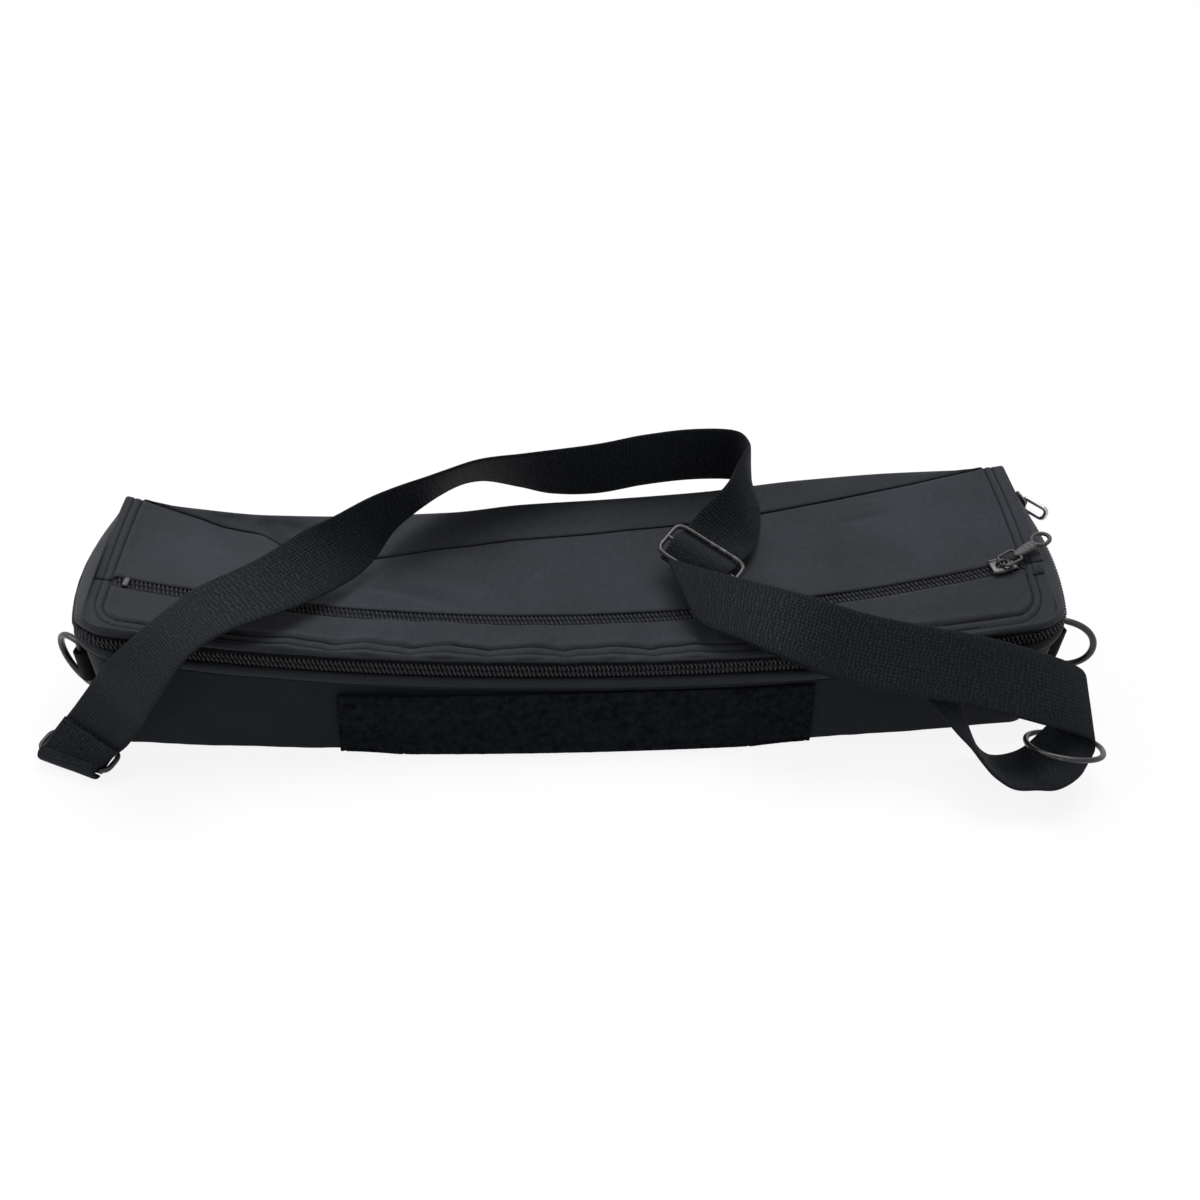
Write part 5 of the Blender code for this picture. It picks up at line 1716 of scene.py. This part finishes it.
left_centre = fold_centre + fold_back * LEFT_LOOP_WIDTH / 2
strap_loop("left", left_centre, fold_across, fold_back, LEFT_LOOP_LENGTH, LEFT_LOOP_WIDTH, 0.5)
right_centre = at_shares((0.9985, -1.546, 0.297))
right_first = Vector((0.95, -0.30, 0.10)).normalized()
right_second = square_to(Vector((0.31, 0.81, -0.50)), right_first)
strap_loop("right", right_centre, right_first, right_second, RIGHT_LOOP_LENGTH, RIGHT_LOOP_WIDTH, 0.9)

HOOK_SHARES = (
    (0.2, 0.96),
    (0.09, 0.62),
    (0.0, 0.0),
    (0.09, -0.62),
    (0.2, -0.96),
    (0.4, -1.0),
    (0.72, -1.0),
    (0.89, -0.72),
    (0.98, 0.0),
    (0.89, 0.72),
    (0.75, 0.98),
)


def hook(where, origin, along, across):
    """A spring hook: a swivel eye, the hook and its sprung gate."""
    along = along.normalized()
    across = square_to(across, along)
    half = HOOK_WIDTH / 2
    start = HOOK_EYE * 1.05

    def at(share, beside, more=0.0):
        return origin + along * (start + share * HOOK_LENGTH + more) + across * half * beside

    eye = oval(origin, along, along.cross(across), HOOK_EYE * 2, HOOK_EYE * 2, count=32)
    path = flowing([at(*share) for share in HOOK_SHARES])
    foot = at(GATE_FOOT, 1, HOOK_WIRE * 1.1)
    head = at(GATE_HEAD, 1, -HOOK_WIRE * 0.7)
    gate = [foot.lerp(head, i / 8) for i in range(9)]
    wire_piece(where + "_hook_wire", [(path, False)], HOOK_WIRE, where + "_hook", where + "_hook_body")
    wire_piece(where + "_hook_eye", [eye], HOOK_WIRE * 0.8, where + "_hook")
    wire_piece(
        where + "_gate_wire", [(gate, False)], HOOK_GATE_WIRE, where + "_gate", where + "_hook_gate"
    )


left_eye = left_centre + fold_back * LEFT_LOOP_WIDTH / 2
hook("left", left_eye, Vector((0.62, 0.10, 0.78)), Vector((0.80, -0.53, -0.28)))
right_eye = right_centre + right_second * RIGHT_LOOP_WIDTH / 2
hook("right", right_eye, Vector((0.10, 0.50, 0.86)), right_first)

bar_reach = glide_across * GLIDE_LENGTH / 2
slide_rim = oval(glide_centre, glide_across, glide_along, GLIDE_LENGTH, GLIDE_WIDTH, 0.3)
slide_bar = ([glide_centre - bar_reach, glide_centre, glide_centre + bar_reach], False)
wire_piece("slide_frame", [slide_rim, slide_bar], GLIDE_WIRE, "strap", "strap_slide")


def ring_tab(side, where):
    """Webbing folded round the ring's bar, both legs running back along the wall."""
    centre, outward, backward, run = ring_frame(side)
    radius = RING_WIRE + RING_TAB_ROOM + RING_TAB_THICKNESS / 2
    leg = RING_TAB_THICKNESS - radius + 2 * GAP
    path = [(RING_TAB_LEG, -radius), (RING_TAB_LEG * 0.5, -radius)]
    for i in range(17):
        turn = math.pi * (1.5 - i / 16)
        path.append((radius * math.cos(turn), radius * math.sin(turn)))
    path.append((RING_TAB_LEG * 0.45, leg + radius * 0.5))
    path.append((RING_TAB_LEG * 0.65, leg))
    path.append((RING_TAB_LEG, leg))

    def at(back, out):
        straight = centre + backward * back + outward * out
        if back <= 0:
            return straight
        far = run + side * back / (DEPTH - CORNER_RADIUS)
        follow = side_point(far, RING_LEVEL, RING_OUT + out)
        point = straight.lerp(follow, min(back / (RING_TAB_LEG * 0.45), 1))
        point.z = RING_LEVEL
        return point

    points = flowing([at(*pair) for pair in path], steps=3)
    frames = []
    for i, spot in enumerate(points):
        before, after = points[max(i - 1, 0)], points[min(i + 1, len(points) - 1)]
        frames.append((spot, Z, Z.cross(after - before).normalized()))
    size = (TAB_HEIGHT, RING_TAB_THICKNESS)
    webbing_piece(where + "_tab_webbing", frames, [where + "_ring_tab"], size, TAB_WEBBING, "tray")


ring_tab(-1, "left")
ring_tab(1, "right")


# The carry handle: brushed webbing sewn flat at both ends


def handle_spot(u, v, out):
    x = mixed(-1, 1, u) * HANDLE_LENGTH / 2
    run = 2 + (x + HALF - CORNER_RADIUS) / (2 * (HALF - CORNER_RADIUS))
    slack = HANDLE_SLACK * min(1, 4 * (1 - abs(2 * u - 1))) ** 2
    return side_point(run, HANDLE_FOOT + HANDLE_WIDTH * v, out + slack)


def box_distance(x, high):
    """The distance to the nearest line of the crossed box sewn at each end."""
    inner = HANDLE_LENGTH / 2 - abs(x)
    if inner > HANDLE_BOX + BOX_SIDE:
        return 1.0
    tall = HANDLE_WIDTH - 2 * BOX_FOOT
    a = (inner - BOX_SIDE) / (HANDLE_BOX - BOX_SIDE)
    b = (high - BOX_FOOT) / tall
    edges = (inner - BOX_SIDE, inner - HANDLE_BOX, high - BOX_FOOT, high - BOX_FOOT - tall)
    crosses = ((a - b) * CROSS_SLOPE, (a - 1 + b) * CROSS_SLOPE)
    return min(abs(line) for line in (*edges, *crosses))


def handle_place(u, w):
    share, through = section_at(w)
    out = GAP + HANDLE_THICKNESS * (0.5 + 0.5 * through)
    if through > 0:
        x, high = mixed(-1, 1, u) * HANDLE_LENGTH / 2, share * HANDLE_WIDTH
        fuzz = noise.noise(Vector((x, high, 0)) / 0.0011) * PILE_DEPTH
        fuzz += noise.noise(Vector((x, high, 5)) / 0.0036) * PILE_DEPTH
        out += (fuzz + groove(box_distance(x, high), 0.0006, 0.0006)) * through
    return handle_spot(u, share, out)


wrapped_piece(
    "handle_webbing",
    handle_place,
    (560, 96),
    (HANDLE_LENGTH, HANDLE_WIDTH),
    HANDLE_PILE,
    "tray",
    ["carry_handle"],
)


def handle_row(start, end):
    """A row of stitches between two points, each a place along and a height."""
    row = []
    for i in range(21):
        inner, high = (mixed(a, b, i / 20) for a, b in zip(start, end))
        place = (0.5 + inner / HANDLE_LENGTH, high / HANDLE_WIDTH)
        spot = handle_spot(*place, GAP + HANDLE_THICKNESS - STITCH_DEPTH)
        ahead = handle_spot(*place, GAP + HANDLE_THICKNESS + 0.001)
        row.append((spot, (ahead - spot).normalized()))
    return row


box_rows = []
low, high = BOX_FOOT, HANDLE_WIDTH - BOX_FOOT
for side in (-1, 1):
    near = side * (HANDLE_LENGTH / 2 - BOX_SIDE)
    far = side * (HANDLE_LENGTH / 2 - HANDLE_BOX)
    for start, end in (
        ((near, low), (far, low)),
        ((near, high), (far, high)),
        ((near, low), (near, high)),
        ((far, low), (far, high)),
        ((near, low), (far, high)),
        ((near, high), (far, low)),
    ):
        box_rows.append(handle_row(start, end))
stitched("handle_stitches", box_rows, "tray")


# The model's own nodes that show keep their place and get a finish

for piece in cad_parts.values():
    if not piece.hide_render:
        piece.data.materials.clear()
        piece.data.materials.append(BLACK_METAL)


# Floor, light and camera

FLOOR_DROP = 0.0004
FLOOR_GLOW = 0.88
WORLD_LIGHT = 0.34
FLOOR_LOOK = {"Base Color": colour((0.92, 0.92, 0.92)), "Roughness": 0.9, "Specular IOR Level": 0.1}
CAMERA_AT = Vector((-0.0355, -0.4199, 0.4405))
CAMERA_PITCH = math.radians(43.46)
CAMERA_HEADING = math.radians(1.86)
CAMERA_ROLL = math.radians(0.16)
FOCAL_LENGTH = 38.16
PICTURE_SIZE = 1200
PICTURE_SHIFT = (77, -15)


def seen_share(tree):
    """1 for what shows straight, in a reflection or through glass, 0 for what only lights."""
    rays = tree.nodes.new("ShaderNodeLightPath").outputs
    bounced = calc(tree, "MAXIMUM", rays["Is Glossy Ray"], rays["Is Transmission Ray"])
    return calc(tree, "MAXIMUM", rays["Is Camera Ray"], bounced)


floor_shape = bmesh.new()
bmesh.ops.create_grid(floor_shape, x_segments=2, y_segments=2, size=4)
floor = added("floor", saved("floor", floor_shape))
floor.location.z = -FLOOR_DROP
floor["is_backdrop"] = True
floor_look = bpy.data.materials.new("pale_floor")
floor_look.use_nodes = True
floor_tree = floor_look.node_tree
floor_shader = fed(floor_tree, floor_tree.nodes["Principled BSDF"], FLOOR_LOOK)
glow = wired(floor_tree, "ShaderNodeEmission", {"Color": WHITE, "Strength": 1.0}).outputs[0]
glow_share = calc(floor_tree, "MULTIPLY", seen_share(floor_tree), FLOOR_GLOW)
layers = {0: glow_share, 1: floor_shader.outputs[0], 2: glow}
blend = wired(floor_tree, "ShaderNodeMixShader", layers).outputs[0]
fed(floor_tree, floor_tree.nodes["Material Output"], {"Surface": blend})
floor.data.materials.append(floor_look)

world = bpy.data.worlds.new("studio")
bpy.context.scene.world = world
world.use_nodes = True
world_tree = world.node_tree
world_tree.nodes.clear()
layers = {0: seen_share(world_tree)}
for layer, strength in ((1, WORLD_LIGHT), (2, 1.0)):
    glow = wired(world_tree, "ShaderNodeBackground", {"Color": WHITE, "Strength": strength})
    layers[layer] = glow.outputs[0]
blend = wired(world_tree, "ShaderNodeMixShader", layers).outputs[0]
wired(world_tree, "ShaderNodeOutputWorld", {"Surface": blend})


def soft_lamp(name, where, aim, size, power):
    lamp = bpy.data.lights.new(name, "AREA")
    lamp.shape = "RECTANGLE"
    lamp.size, lamp.size_y = size
    lamp.energy = power
    holder = added(name, lamp)
    holder.location = where
    holder.rotation_euler = (Vector(aim) - Vector(where)).to_track_quat("-Z", "Y").to_euler()


soft_lamp("top_lamp", (0.15, 0.65, 1.20), (0, 0, 0.03), (0.9, 0.6), 17.0)
soft_lamp("left_lamp", (-1.05, 0.20, 0.75), (-0.1, 0, 0.03), (0.6, 0.6), 6.0)

camera = bpy.data.cameras.new("camera")
camera.sensor_width = 36
camera.lens = FOCAL_LENGTH
camera.shift_x, camera.shift_y = (shift / PICTURE_SIZE for shift in PICTURE_SHIFT)
camera.clip_start = 0.01
level = Vector((math.cos(CAMERA_HEADING), -math.sin(CAMERA_HEADING), 0))
ahead = Vector((math.sin(CAMERA_HEADING), math.cos(CAMERA_HEADING), 0))
look = ahead * math.cos(CAMERA_PITCH) - Z * math.sin(CAMERA_PITCH)
upright = level.cross(look)
right = level * math.cos(CAMERA_ROLL) + upright * math.sin(CAMERA_ROLL)
above = upright * math.cos(CAMERA_ROLL) - level * math.sin(CAMERA_ROLL)
camera_holder = added("camera", camera)
camera_holder.matrix_world = turned(CAMERA_AT, right, above, -look)
bpy.context.scene.camera = camera_holder
bpy.context.scene.view_settings.view_transform = "Standard"

low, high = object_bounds()
